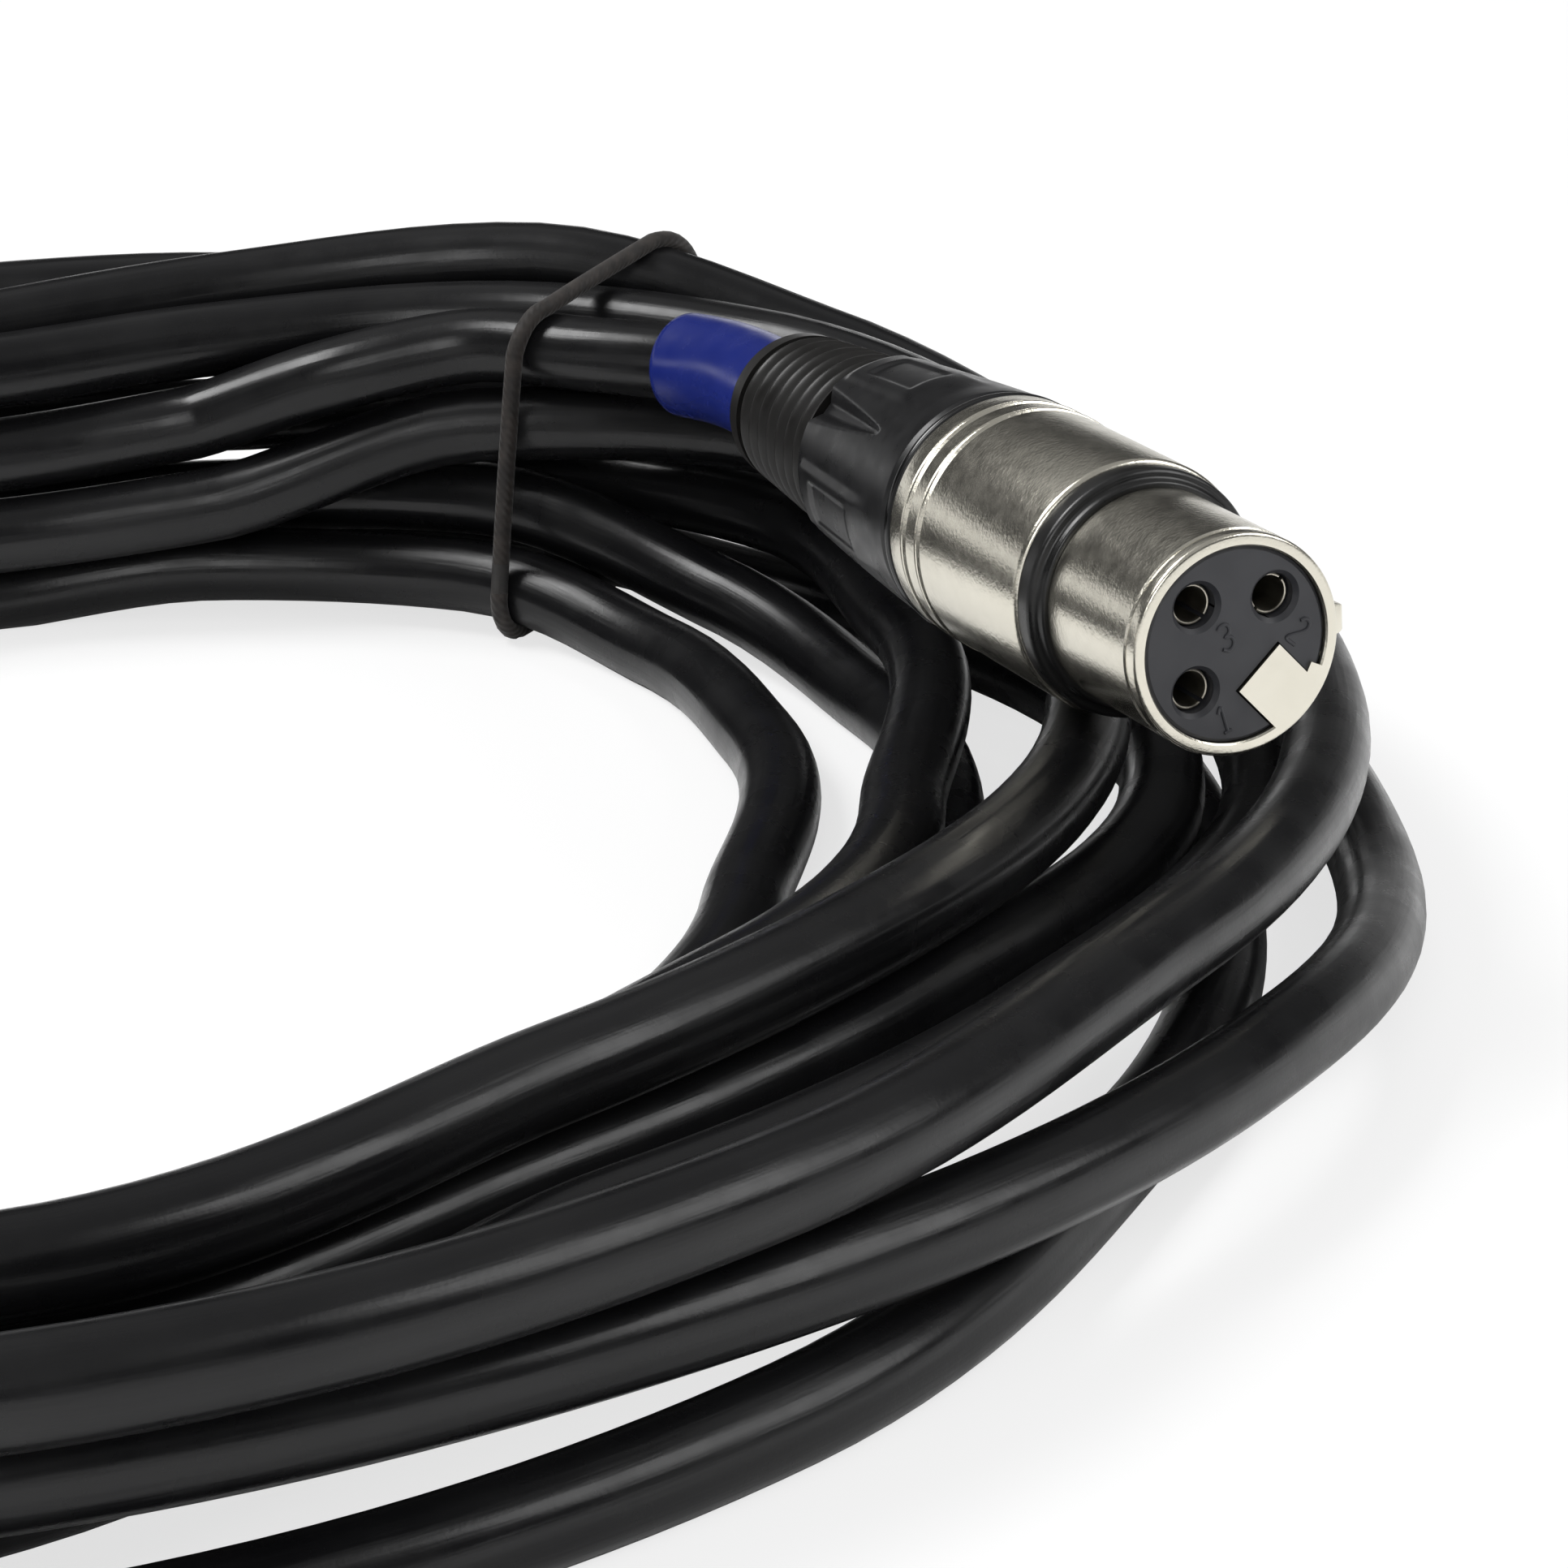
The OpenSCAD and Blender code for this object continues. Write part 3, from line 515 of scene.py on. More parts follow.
def run_and_turn(m):
    """How far along a tube a point lies, in centimetres, and its turn round it, in radians."""
    split = m.add("ShaderNodeSeparateXYZ")
    m.link(m.coords.outputs["UV"], split.inputs[0])
    return split.outputs["X"], m.math("MULTIPLY", split.outputs["Y"], 2 * math.pi)


RIPPLE_WANDER = 7.0        # radians by which the ridges wander


def ripple(m, lobes, pitch):
    """Shallow ridges that wind slowly round the cable, where its wires press on the jacket."""
    run, turn = run_and_turn(m)
    phase = m.math("MULTIPLY_ADD", turn, lobes, m.math("MULTIPLY", run, 2 * math.pi / pitch))
    return m.math("SINE", m.math("MULTIPLY_ADD", m.noise(22.0, 2.0), RIPPLE_WANDER, phase))


def streaks(m, along, around):
    """Fine lines along the cable."""
    run, turn = run_and_turn(m)
    place = m.add("ShaderNodeCombineXYZ")
    m.link(m.math("MULTIPLY", run, along), place.inputs["X"])
    m.link(m.math("MULTIPLY", m.math("COSINE", turn), around), place.inputs["Y"])
    m.link(m.math("MULTIPLY", m.math("SINE", turn), around), place.inputs["Z"])
    return m.noise(1.0, 2.0, 0.5, place.outputs[0])


def jacket():
    m = Nodes("cable_jacket").set(Specular_IOR_Level=0.33)
    m.two_colors(m.noise(45.0, 3.0), (0.0035, 0.0035, 0.0040), (0.0075, 0.0075, 0.0080))
    m.rough(m.noise(160.0, 4.0, 0.6), 0.23, 0.34)
    m.bump((ripple(m, 5, 60.0), 0.045), (m.noise(55.0, 2.0), 0.10), (streaks(m, 0.8, 5.0), 0.035),
           (m.noise(2600.0, 3.0, 0.6), 0.008))
    return m.material


def nickel():
    m = Nodes("shell_nickel").set(Metallic=1.0)
    m.two_colors(m.noise(300.0, 3.0), (0.685, 0.655, 0.565), (0.71, 0.68, 0.59))
    m.rough(m.noise(900.0, 3.0, 0.6), 0.22, 0.27)
    m.bump((m.noise(3000.0, 2.0, 0.6), 0.020))
    return m.material


def bright(name, color, rough=(0.14, 0.26)):
    """Bare metal, with its darker tone at 0.88 of the color."""
    m = Nodes(name).set(Metallic=1.0)
    m.two_colors(m.noise(400.0, 3.0), tuple(c * 0.88 for c in color), color)
    m.rough(m.noise(900.0, 3.0), *rough)
    m.bump((m.noise(3000.0, 3.0), 0.002))
    return m.material


def plastic(name, color, rough, grain_scale=2600.0, grain=0.006, wave=0.0, lighter=1.35,
            specular=0.5):
    """Plastic or rubber. grain and wave are the heights of a fine and of a wide unevenness."""
    m = Nodes(name).set(Specular_IOR_Level=specular)
    m.two_colors(m.noise(180.0, 4.0), color, tuple(c * lighter for c in color))
    m.rough(m.noise(500.0, 3.0), *rough)
    layers = [(m.noise(grain_scale, 3.0, 0.6), grain)]
    if wave:
        layers.append((m.noise(220.0, 2.0), wave))
    m.bump(*layers)
    return m.material


RIBS_ROUND_TIE, RIBS_ALONG_TIE = 6.0, 80.0     # ribs in a turn, and radians in a centimetre


def elastic():
    m = Nodes("tie_elastic").set(Specular_IOR_Level=0.35, Sheen_Weight=0.12, Sheen_Roughness=0.5)
    m.two_colors(m.noise(900.0, 3.0), (0.009, 0.007, 0.006), (0.022, 0.017, 0.014))
    m.rough(m.noise(600.0, 3.0), 0.55, 0.75)
    run, turn = run_and_turn(m)
    along = m.math("MULTIPLY", run, RIBS_ALONG_TIE)
    rib = m.math("SINE", m.math("MULTIPLY_ADD", turn, RIBS_ROUND_TIE, along))
    m.bump((rib, 0.018), (m.noise(3500.0, 2.0), 0.01))
    return m.material


def wires():
    """Red insulation, the same on all three wires."""
    m = Nodes("wire_insulation").set(Specular_IOR_Level=0.5)
    m.two_colors(m.noise(150.0, 2.0), (0.42, 0.03, 0.03), (0.62, 0.05, 0.045))
    m.rough(m.noise(500.0, 2.0), 0.3, 0.45)
    m.bump((m.noise(1800.0, 2.0), 0.004))
    return m.material


JACKET = jacket()
NICKEL = nickel()
INSERT = plastic("insert_plastic", (0.024, 0.0245, 0.0285), (0.40, 0.52), 1800.0, 0.006, 0.0, 1.15)
RING_RUBBER = plastic("ring_rubber", (0.005, 0.005, 0.005), (0.26, 0.38), 1500.0, 0.008)
NUT_PLASTIC = plastic("nut_plastic", (0.006, 0.006, 0.0065), (0.27, 0.36), 1500.0, 0.005, 0.010,
                      specular=0.34)
NUT_LIP = plastic("nut_lip_gloss", (0.004, 0.004, 0.004), (0.12, 0.20), 1500.0, 0.003)
BOOT_RUBBER = plastic("boot_rubber", (0.0055, 0.005, 0.0045), (0.34, 0.46), 1300.0, 0.006,
                      specular=0.34)
BLUE = plastic("sleeve_blue", (0.0085, 0.0165, 0.135), (0.20, 0.28), 1500.0, 0.002, 0.0, 1.10)
ELASTIC = elastic()
CONTACT = bright("contact_metal", (0.50, 0.47, 0.40), (0.28, 0.40))
PIN = bright("pin_metal", (0.82, 0.79, 0.70), (0.08, 0.18))
STEEL = bright("latch_steel", (0.60, 0.58, 0.54))
SPRING = bright("spring_steel", (0.62, 0.61, 0.58))
CLAMP = plastic("clamp_plastic", (0.02, 0.02, 0.021), (0.4, 0.55))
WIRES = wires()

# ---- the cable -------------------------------------------------------------------------
cable = new_object("cable", tube("cable", cable_line, CABLE_R, 28, floor=0.0), "coil", JACKET,
                   ["cable_coil", "female_lead", "male_lead"])

# ---- the tie ---------------------------------------------------------------------------
TIE_R = 0.75
TIE_REACH = CABLE_R + TIE_R + 0.06
TIE_LOOPS = [(0, 3), (5, 4), (6, 7), (7, 6.5)]   # loop, and extra turn of the slant
TIE_STEPS = 8              # points of each corner and of each straight
TIE_ROUNDS = 80            # rounds of smoothing of the slant
TIE_LOWEST = 0.45          # height of the tie's middle where it is pressed on the floor
LEAD_UNDER_TIE = female_points[1].lerp(female_points[2], 0.6)


def lane_of(p):
    """Turn, way out and height of a point beside the coil."""
    q = p - MIDDLE
    turn = -math.degrees(math.atan2(q.y, q.x))
    return turn, math.hypot(q.x, q.y) - loop_r(turn), q.z


corners = [(TIE_TURN + slant, *strand_lane(360 * loop + TIE_TURN + slant))
           for loop, slant in TIE_LOOPS]
corners.append(lane_of(LEAD_UNDER_TIE))
flat = []                  # the tie's turn, way out and height, point by point
for i, (turn, out, z) in enumerate(corners):
    before, after = corners[i - 1], corners[(i + 1) % len(corners)]
    n0 = Vector((z - before[2], before[1] - out)).normalized()
    n1 = Vector((after[2] - z, out - after[1])).normalized()
    for k in range(TIE_STEPS + 1):
        d = n0.lerp(n1, k / TIE_STEPS).normalized()
        flat.append(Vector((turn, out + TIE_REACH * d.x, z + TIE_REACH * d.y)))
    d = n1 * TIE_REACH
    leave, reach = flat[-1], Vector((after[0], after[1] + d.x, after[2] + d.y))
    flat += [leave.lerp(reach, k / TIE_STEPS) for k in range(1, TIE_STEPS)]
for k in range(TIE_ROUNDS):
    slants = [v.x for v in flat]
    for i, v in enumerate(flat):
        v.x = (slants[i - 1] + 2 * slants[i] + slants[(i + 1) % len(flat)]) / 4
tie_line = [on_coil(turn, out, max(z, TIE_LOWEST)) for turn, out, z in flat]
tie_side = Vector((-math.sin(math.radians(TIE_TURN)), -math.cos(math.radians(TIE_TURN)), 0))
tie_mesh = tube("tie", tie_line, TIE_R, 16, floor=0.0, facing=tie_side, closed=True)
tie = new_object("tie", tie_mesh, "coil", ELASTIC, "coil_tie")

# ---- connector pieces shared by both ends ----------------------------------------------
SPIGOT_R = SHELL_R - 1.2
SPIGOT_END = -SHELL_LEN - 8
REAR_BORE_R = SPIGOT_R - 0.9
INSERT_R = 7.0
INSERT_LEN = 25.0
SLEEVE_R = CABLE_R + 1.2
RIDGES = (31.3, 33.7)      # how far behind the face each ridge lies
NUT_STEP = 8.3             # depth of the nut's wide bore
NUT_BORE_R = NUT_REAR_R - 1.4
NUT_STEPS, NUT_BELLY = 90, 1.15
# Four flutes, and between them four pads, each with a grip window in it. They are told by
# their middle's turn, their half width in degrees and their way from the nut's front.
FLUTE_TURN, FLUTE_HALF, FLUTE_WIDENS = 50.0, 1.0, 11.0
FLUTE_FROM, FLUTE_DEEP, FLUTE_DEEPENS = 7.0, 0.25, 0.60
WINDOW_TURN, WINDOW_HALF, WINDOW_SOFT = 12.0, 11.0, 2.2
WINDOW_FROM, WINDOW_TO, WINDOW_END_SOFT, WINDOW_DEEP = 8.6, 16.4, 0.9, 0.18
PAD_HALF, PAD_SOFT, PAD_HIGH = 18.0, 7.0, 0.30
PAD_FROM, PAD_FROM_SOFT, PAD_TO, PAD_TO_SOFT = 6.0, 5.0, 19.0, 1.2


def arc(cx, cz, r, a0, a1, n=5):
    """n + 1 points of a profile, from angle a0 to a1 round (cx, cz)."""
    return [(cx + r * math.cos(math.radians(a0 + (a1 - a0) * k / n)),
             cz + r * math.sin(math.radians(a0 + (a1 - a0) * k / n))) for k in range(n + 1)]


def shell_outside(front):
    """Profile of the shell's body from its shoulder at z = -front down to its rear spigot."""
    p = arc(SHELL_R - 0.45, -front - 0.45, 0.45, 90, 0)
    for g in RIDGES:
        p += [(SHELL_R, -g + 0.5), (SHELL_R - 0.16, -g + 0.38), (SHELL_R - 0.16, -g + 0.3)]
        p += arc(SHELL_R - 0.08, -g, 0.2, 70, -70, 4)
        p += [(SHELL_R - 0.16, -g - 0.3), (SHELL_R - 0.16, -g - 0.38), (SHELL_R, -g - 0.5)]
    p += arc(SHELL_R - 0.15, -SHELL_LEN + 0.15, 0.15, 0, -90, 3)
    return p + [(SPIGOT_R, -SHELL_LEN), (SPIGOT_R, SPIGOT_END), (REAR_BORE_R, SPIGOT_END)]


def edge_step(x, soft):
    """From 0 to 1 over a width of soft, with the middle at x = 0."""
    t = max(0.0, min(1.0, x / soft + 0.5))
    return t * t * (3 - 2 * t)


def nut_wave(a, r, z):
    """Flutes, grip windows and raised pads round the nut."""
    s = NUT_Z - z
    if r < (SPIGOT_R + 0.2 if s < NUT_STEP + 0.1 else NUT_BORE_R + 0.1):
        return r
    turn = math.degrees(a)
    f = abs((turn - FLUTE_TURN + 45) % 90 - 45)
    along = max(0.0, min(1.0, (s - FLUTE_FROM) / (NUT_LEN - FLUTE_FROM)))
    half = FLUTE_HALF + FLUTE_WIDENS * along ** 0.8
    groove = max(0.0, 1 - f / half)
    r -= ((FLUTE_DEEP + FLUTE_DEEPENS * along ** 0.5) * min(1.0, along * 12)
          * min(1.0, groove * 1.5))
    w = abs((turn - WINDOW_TURN + 45) % 90 - 45)
    across = edge_step(WINDOW_HALF - w, WINDOW_SOFT)
    length = edge_step(s - WINDOW_FROM, WINDOW_END_SOFT) * edge_step(WINDOW_TO - s, WINDOW_END_SOFT)
    pad = (edge_step(PAD_HALF - w, PAD_SOFT) * edge_step(s - PAD_FROM, PAD_FROM_SOFT)
           * edge_step(PAD_TO - s, PAD_TO_SOFT))
    return r + PAD_HIGH * pad - WINDOW_DEEP * across * length


def nut_profile():
    front, rear = NUT_Z, NUT_Z - NUT_LEN
    p = [(SPIGOT_R + 0.1, front), (SHELL_R - 0.25, front)]
    p += arc(SHELL_R - 0.25, front - 0.25, 0.25, 90, 0, 3)
    p += [(SHELL_R, front - 0.7), (SHELL_R - 0.3, front - 0.95), (SHELL_R - 0.3, front - 1.25),
          (SHELL_R - 0.1, front - 1.5)]
    for k in range(NUT_STEPS + 1):
        t = k / NUT_STEPS
        z = front - 1.7 - t * (NUT_LEN - 2.1)
        r = SHELL_R - 0.1 - (SHELL_R - NUT_REAR_R - 0.2) * (t ** NUT_BELLY)
        p.append((r, z))
    p += arc(NUT_REAR_R - 0.35, rear + 0.35, 0.35, 10, -90, 3)
    return p + [(NUT_BORE_R, rear), (NUT_BORE_R, front - NUT_STEP),
                (SPIGOT_R + 0.1, front - NUT_STEP)]


BOOT_RINGS = 7
RINGS_LEN = BOOT_LEN - 3.2     # the part of the boot that the rings take up
GROOVE_AT = 1.0            # the first groove's middle, behind the boot's front
GROOVE_DEEP = 1.05
BOOT_ROUNDED = 0.965       # share of the boot's length at which its rear rounds off
BOOT_STEPS = 210


def boot_profile():
    collar = NUT_BORE_R - 0.1      # the collar that reaches into the nut
    p = [(NUT_BORE_R - 0.9, BOOT_Z + 9.5), (collar, BOOT_Z + 9.5), (collar, BOOT_Z)]
    taper = (NUT_REAR_R - BOOT_REAR_R) / BOOT_LEN
    for k in range(BOOT_STEPS + 1):
        s = BOOT_LEN * k / BOOT_STEPS * BOOT_ROUNDED
        r = NUT_REAR_R - 0.35 - taper * s + 0.3 * s / BOOT_LEN
        if 0.3 < s < RINGS_LEN + 0.9:
            d = (s - GROOVE_AT) / (RINGS_LEN / BOOT_RINGS)
            r -= GROOVE_DEEP * (1 - 2 * abs(d - round(d))) ** 1.5
        p.append((r, BOOT_Z - s))
    p += arc(BOOT_REAR_R - 0.9, BOOT_END + 0.9, 0.9, 20, -90, 6)
    bore = SLEEVE_R + 0.15
    return p + [(bore + 0.3, BOOT_END), (bore, BOOT_END + 0.5), (bore, BOOT_Z - 2),
                (NUT_BORE_R - 0.9, BOOT_Z)]


def rear_pieces(conn, name):
    """The nut, its glossy front lip and the boot."""
    nut = fit(conn, name + "_nut_shape", lathe("nut", nut_profile(), 360, nut_wave), name + "_nut",
              NUT_PLASTIC, name + "_nut", 50)
    rim = lathe("lip", arc(SHELL_R - 0.42, NUT_Z - 0.5, 0.48, 100, -100, 12), 192)
    lip = fit(conn, name + "_nut_lip", rim, name + "_nut", NUT_LIP, None, 60)
    boot = fit(conn, name + "_boot_shape", lathe("boot", boot_profile()), name + "_boot",
               BOOT_RUBBER, name + "_boot", 60)
    return [nut, lip, boot]


# Digits as short strokes on a grid two wide and four high
DIGITS = {
    "1": [[(0.4, 3.2), (1.0, 4.0), (1.0, 0.0)], [(0.4, 0.0), (1.6, 0.0)]],
    "2": [[(0.1, 3.2), (0.5, 3.8), (1.0, 4.0), (1.6, 3.8), (1.9, 3.1), (1.7, 2.4), (0.1, 0.0),
           (2.0, 0.0)]],
    "3": [[(0.1, 3.6), (0.6, 4.0), (1.4, 4.0), (1.9, 3.4), (1.7, 2.5), (0.9, 2.1), (1.7, 1.8),
           (2.0, 1.0), (1.5, 0.15), (0.7, 0.0), (0.0, 0.5)]],
}
DIGIT_SCALE = 0.48
STROKE_R = 0.14


def digit(name, text, at, turn, z):
    """A number with its middle at the point at, on a face at that z."""
    meshes = []
    c, s = math.cos(math.radians(turn)), math.sin(math.radians(turn))
    for stroke in DIGITS[text]:
        line = []
        for x, y in stroke:
            x, y = (x - 1.0) * DIGIT_SCALE, (y - 2.0) * DIGIT_SCALE
            line.append(Vector((at[0] + x * c - y * s, at[1] + x * s + y * c, z)))
        dense = smooth(line, line[0] * 2 - line[1], line[-1] * 2 - line[-2], 0.1)
        m = tube(name, dense, STROKE_R, 8)
        m.transform(Matrix.Scale(1 / MM, 4))
        meshes.append(m)
    return joined(meshes)


# ---- female connector ------------------------------------------------------------------
NOSE_R = 8.0
NOSE_LEN = 13.0
RING_W = 2.3
KEY_W = 4.3
KEY_IN = 2.6
KEY_TURN = -46.0
LATCH_TURN = 3.0
LATCH_W = 4.0
LATCH_REAR = 28.6
SLOT_R, SLOT_HALF = 5.3, LATCH_W / 2 + 0.2      # the latch's slot in shell and insert
CONTACT_TURNS = (-135, 45, 135)
CONTACT_CIRCLE = 4.3


def contact_at(k, flip=1):
    """Place of contact k; flip = -1 on the male connector, which meets the female face to face."""
    a = math.radians(CONTACT_TURNS[k])
    return (flip * CONTACT_CIRCLE * math.cos(a), CONTACT_CIRCLE * math.sin(a))


def box_outline(x0, x1, half):
    return [(x0, -half), (x1, -half), (x1, half), (x0, half)]


def female_shell():
    shoulder = NOSE_LEN + RING_W
    p = [(INSERT_R + 0.05, -0.12), (INSERT_R + 0.17, 0.0), (NOSE_R - 0.32, 0.0)]
    p += arc(NOSE_R - 0.32, -0.32, 0.32, 90, 0, 4)
    p += [(NOSE_R, -0.95), (NOSE_R - 0.13, -1.08), (NOSE_R - 0.13, -1.42), (NOSE_R, -1.55),
          (NOSE_R, -NOSE_LEN + 0.05), (NOSE_R - 0.1, -NOSE_LEN), (NOSE_R - 0.1, -shoulder)]
    p += shell_outside(shoulder)
    p += [(REAR_BORE_R, -INSERT_LEN - 1), (INSERT_R + 0.05, -INSERT_LEN - 1)]
    body = lathe("female_shell", p, 192)
    slot = prism("slot", box_outline(SLOT_R, SHELL_R + 2, SLOT_HALF), -LATCH_REAR - 0.2, -0.5,
                 LATCH_TURN)
    body = cut(body, [slot])
    key = prism("key", box_outline(KEY_IN, INSERT_R + 0.35, KEY_W / 2), -INSERT_LEN, 0.0, KEY_TURN)
    step = prism("step", box_outline(INSERT_R - 0.8, INSERT_R + 0.45, 0.7), -INSERT_LEN, 0.0,
                 KEY_TURN + 21)
    return cut(body, [key, step], "UNION")


shell = fit(female, "female_shell_shape", female_shell(), "coil", NICKEL, "female_shell", 32)

ring = fit(female, "female_nose_ring_shape", lathe("ring", (
    [(NOSE_R - 0.1, -NOSE_LEN - RING_W), (NOSE_R - 0.1, -NOSE_LEN), (NOSE_R + 0.2, -NOSE_LEN)]
    + arc(NOSE_R + 0.2, -NOSE_LEN - 0.25, 0.25, 90, 0, 3)
    + [(NOSE_R + 0.5, -NOSE_LEN - 0.45), (SHELL_R - 0.8, -NOSE_LEN - 0.6)]
    + arc(SHELL_R - 0.75, -NOSE_LEN - 1.05, 0.45, 80, 0, 5)
    + [(SHELL_R - 0.3, -NOSE_LEN - RING_W)])), "coil", RING_RUBBER, "female_nose_ring", 45)

INSERT_FACE = -0.25
CONTACT_HOLE_R = 1.6
TAB_TURN = 200             # the ground tab's place


def female_insert():
    p = [(0.35, -INSERT_LEN), (0.35, INSERT_FACE), (INSERT_R - 0.25, INSERT_FACE),
         (INSERT_R, INSERT_FACE - 0.2), (INSERT_R, -INSERT_LEN)]
    core = rod("core", 0.6, -INSERT_LEN, INSERT_FACE, sides=24)
    body = cut(lathe("insert", p, 128), [core], "UNION")
    below = -INSERT_LEN - 1
    cutters = []
    for k in range(3):
        x, y = contact_at(k)
        mouth = lathe("mouth", [(0.01, 1.0), (CONTACT_HOLE_R + 1.45, 1.0),
                                (CONTACT_HOLE_R, INSERT_FACE - 0.35),
                                (0.01, INSERT_FACE - 0.35)], 64)
        mouth.transform(Matrix.Translation((x, y, 0)))
        cutters += [rod("hole", CONTACT_HOLE_R, below, 1, (x, y), 64), mouth]
    keyway = box_outline(KEY_IN - 0.12, INSERT_R + 1, KEY_W / 2 + 0.12)
    groove = box_outline(SLOT_R, INSERT_R + 1, SLOT_HALF)
    tab = box_outline(INSERT_R - 0.65, INSERT_R + 1, 1.55)
    cutters += [prism("keyway", keyway, below, 1, KEY_TURN),
                prism("groove", groove, below, -0.5, LATCH_TURN),
                prism("tab", tab, below, -INSERT_LEN + 6, TAB_TURN)]
    return cut(body, cutters)


insert = fit(female, "female_insert_shape", female_insert(), "coil", INSERT, "female_insert", 30)
for text, at, turn in (("3", (-0.75, 0.6), 20), ("2", (5.0, 0.35), -45), ("1", (-0.8, -5.3), 20)):
    fit(female, "female_digit_" + text, digit("digit", text, at, turn, INSERT_FACE + 0.01), "coil",
        INSERT)


def contact_sleeve(k):
    """A turned contact: bored at the front, slit, and cut away to a solder cup behind."""
    front, bottom, rear = -1.2, -16.2, -29.2
    p = ([(1.25, bottom), (1.25, front - 0.3)] + arc(1.375, front - 0.12, 0.12, 180, 0, 4)
         + [(1.5, front - 0.3), (1.5, rear), (0.85, rear), (0.85, rear + 4), (0.25, rear + 4),
            (0.25, bottom)])
    mesh = lathe("contact", p, 64)
    slit = prism("slit", [(-0.16, -2), (0.16, -2), (0.16, 2), (-0.16, 2)], -11, 0, 45 + 90 * k)
    cup = prism("cup", [(-3, 0), (3, 0), (3, 3), (-3, 3)], rear - 1, rear + 3)
    mesh = cut(mesh, [slit, cup])
    mesh.transform(Matrix.Translation((*contact_at(k), 0)))
    return mesh


for k in range(3):
    node = "female_contact_%d" % (k + 1)
    contact = fit(female, node + "_shape", contact_sleeve(k), "coil", CONTACT, node)

LATCH_LOW, LATCH_TOP = 7.1, 7.55
TOOTH_FROM, TOOTH_LEN, TOOTH_W, TOOTH_H = 1.2, 1.5, 2.8, 1.2
TOOTH = ([(LATCH_LOW + 0.1, -TOOTH_FROM)]
         + arc(NOSE_R + TOOTH_H - 0.5, -TOOTH_FROM - 0.5, 0.5, 90, 0, 5)
         + arc(NOSE_R + TOOTH_H - 0.5, -TOOTH_FROM - TOOTH_LEN + 0.5, 0.5, 0, -90, 5)
         + [(LATCH_LOW + 0.1, -TOOTH_FROM - TOOTH_LEN)])
PRESS_R, RIB_R = SHELL_R + 0.7, SHELL_R + 0.42      # the press pad's top, and between its ribs
PRESS_RIBS, PRESS_RIB_STEP = 5, 1.2
PRESS_PAD = [(SHELL_R - 0.3, -17.0), (SHELL_R + 0.1, -17.3), (PRESS_R, -18.3)]
for k in range(PRESS_RIBS):
    z = -18.7 - k * PRESS_RIB_STEP
    PRESS_PAD += [(PRESS_R, z), (RIB_R, z - 0.3), (RIB_R, z - 0.6), (PRESS_R, z - 0.9)]
PRESS_PAD += [(SHELL_R + 0.1, -25.0), (SHELL_R - 0.3, -25.2)]
lever_outline = ([(LATCH_LOW, -LATCH_REAR), (LATCH_LOW, -0.7), (LATCH_TOP - 0.1, -0.7)]
                 + [(LATCH_TOP, -0.8), (LATCH_TOP, -16.3), (SHELL_R - 0.5, -16.5)] + PRESS_PAD
                 + [(SHELL_R - 0.3, -LATCH_REAR + 0.4), (SHELL_R - 0.7, -LATCH_REAR)])
lever = side_prism("lever", lever_outline, LATCH_W / 2, LATCH_TURN, 0.07)
tooth = side_prism("tooth", TOOTH, TOOTH_W / 2, 0.0, 0.15)
# The tooth narrows towards its top
for v in tooth.vertices:
    v.co.y *= 1 - 0.4 * max(0.0, (v.co.x - NOSE_R + 0.4) / (TOOTH_H + 0.4)) ** 1.3
tooth.transform(Matrix.Rotation(math.radians(LATCH_TURN), 4, "Z"))
latch = fit(female, "female_latch_shape", joined([lever, tooth]), "female_latch", NICKEL,
            "female_latch", 30)
rear_pieces(female, "female")

# ---- male connector --------------------------------------------------------------------
CAVITY_R = 8.2
CAVITY_LEN = 15.5
PIN_R = 1.2
PIN_FRONT = -2.5


def male_shell():
    p = [(CAVITY_R, -0.25), (CAVITY_R + 0.25, 0.0), (SHELL_R - 0.45, 0.0)]
    p += shell_outside(0.0)[1:]
    p += [(REAR_BORE_R, -INSERT_LEN - 2), (INSERT_R + 0.05, -INSERT_LEN - 2),
          (INSERT_R + 0.05, -CAVITY_LEN), (CAVITY_R, -CAVITY_LEN)]
    body = lathe("male_shell", p, 192)
    front = -CAVITY_LEN + TOOTH_FROM + TOOTH_LEN + 0.3
    window = prism("window", box_outline(INSERT_R, SHELL_R + 2, TOOTH_W / 2 + 0.5),
                   front - TOOTH_LEN - 0.6, front, 180 - LATCH_TURN)
    return cut(body, [window])


def male_insert():
    p = [(0.35, -INSERT_LEN), (0.35, -CAVITY_LEN), (INSERT_R - 0.2, -CAVITY_LEN),
         (INSERT_R, -CAVITY_LEN - 0.2), (INSERT_R, -INSERT_LEN)]
    core = rod("core", 0.6, -INSERT_LEN, -CAVITY_LEN, sides=24)
    body = cut(lathe("insert", p, 128), [core], "UNION")
    return cut(body, [rod("hole", 1.5, -INSERT_LEN - 1, -CAVITY_LEN + 1, contact_at(k, -1))
                      for k in range(3)])


def male_pin(k):
    rear = -INSERT_LEN - 4
    p = ([(0.05, PIN_FRONT)] + arc(PIN_R - 0.75, PIN_FRONT - 0.75, 0.75, 90, 0, 8)
         + [(PIN_R, -CAVITY_LEN), (1.5, -CAVITY_LEN), (1.5, rear), (0.85, rear), (0.85, rear + 4),
            (0.05, rear + 4)])
    mesh = lathe("pin", p, 64)
    cup = prism("cup", [(-3, 0), (3, 0), (3, 3), (-3, 3)], rear - 1, rear + 3)
    mesh = cut(mesh, [cup])
    mesh.transform(Matrix.Translation((*contact_at(k, -1), 0)))
    return mesh


male_pieces = []


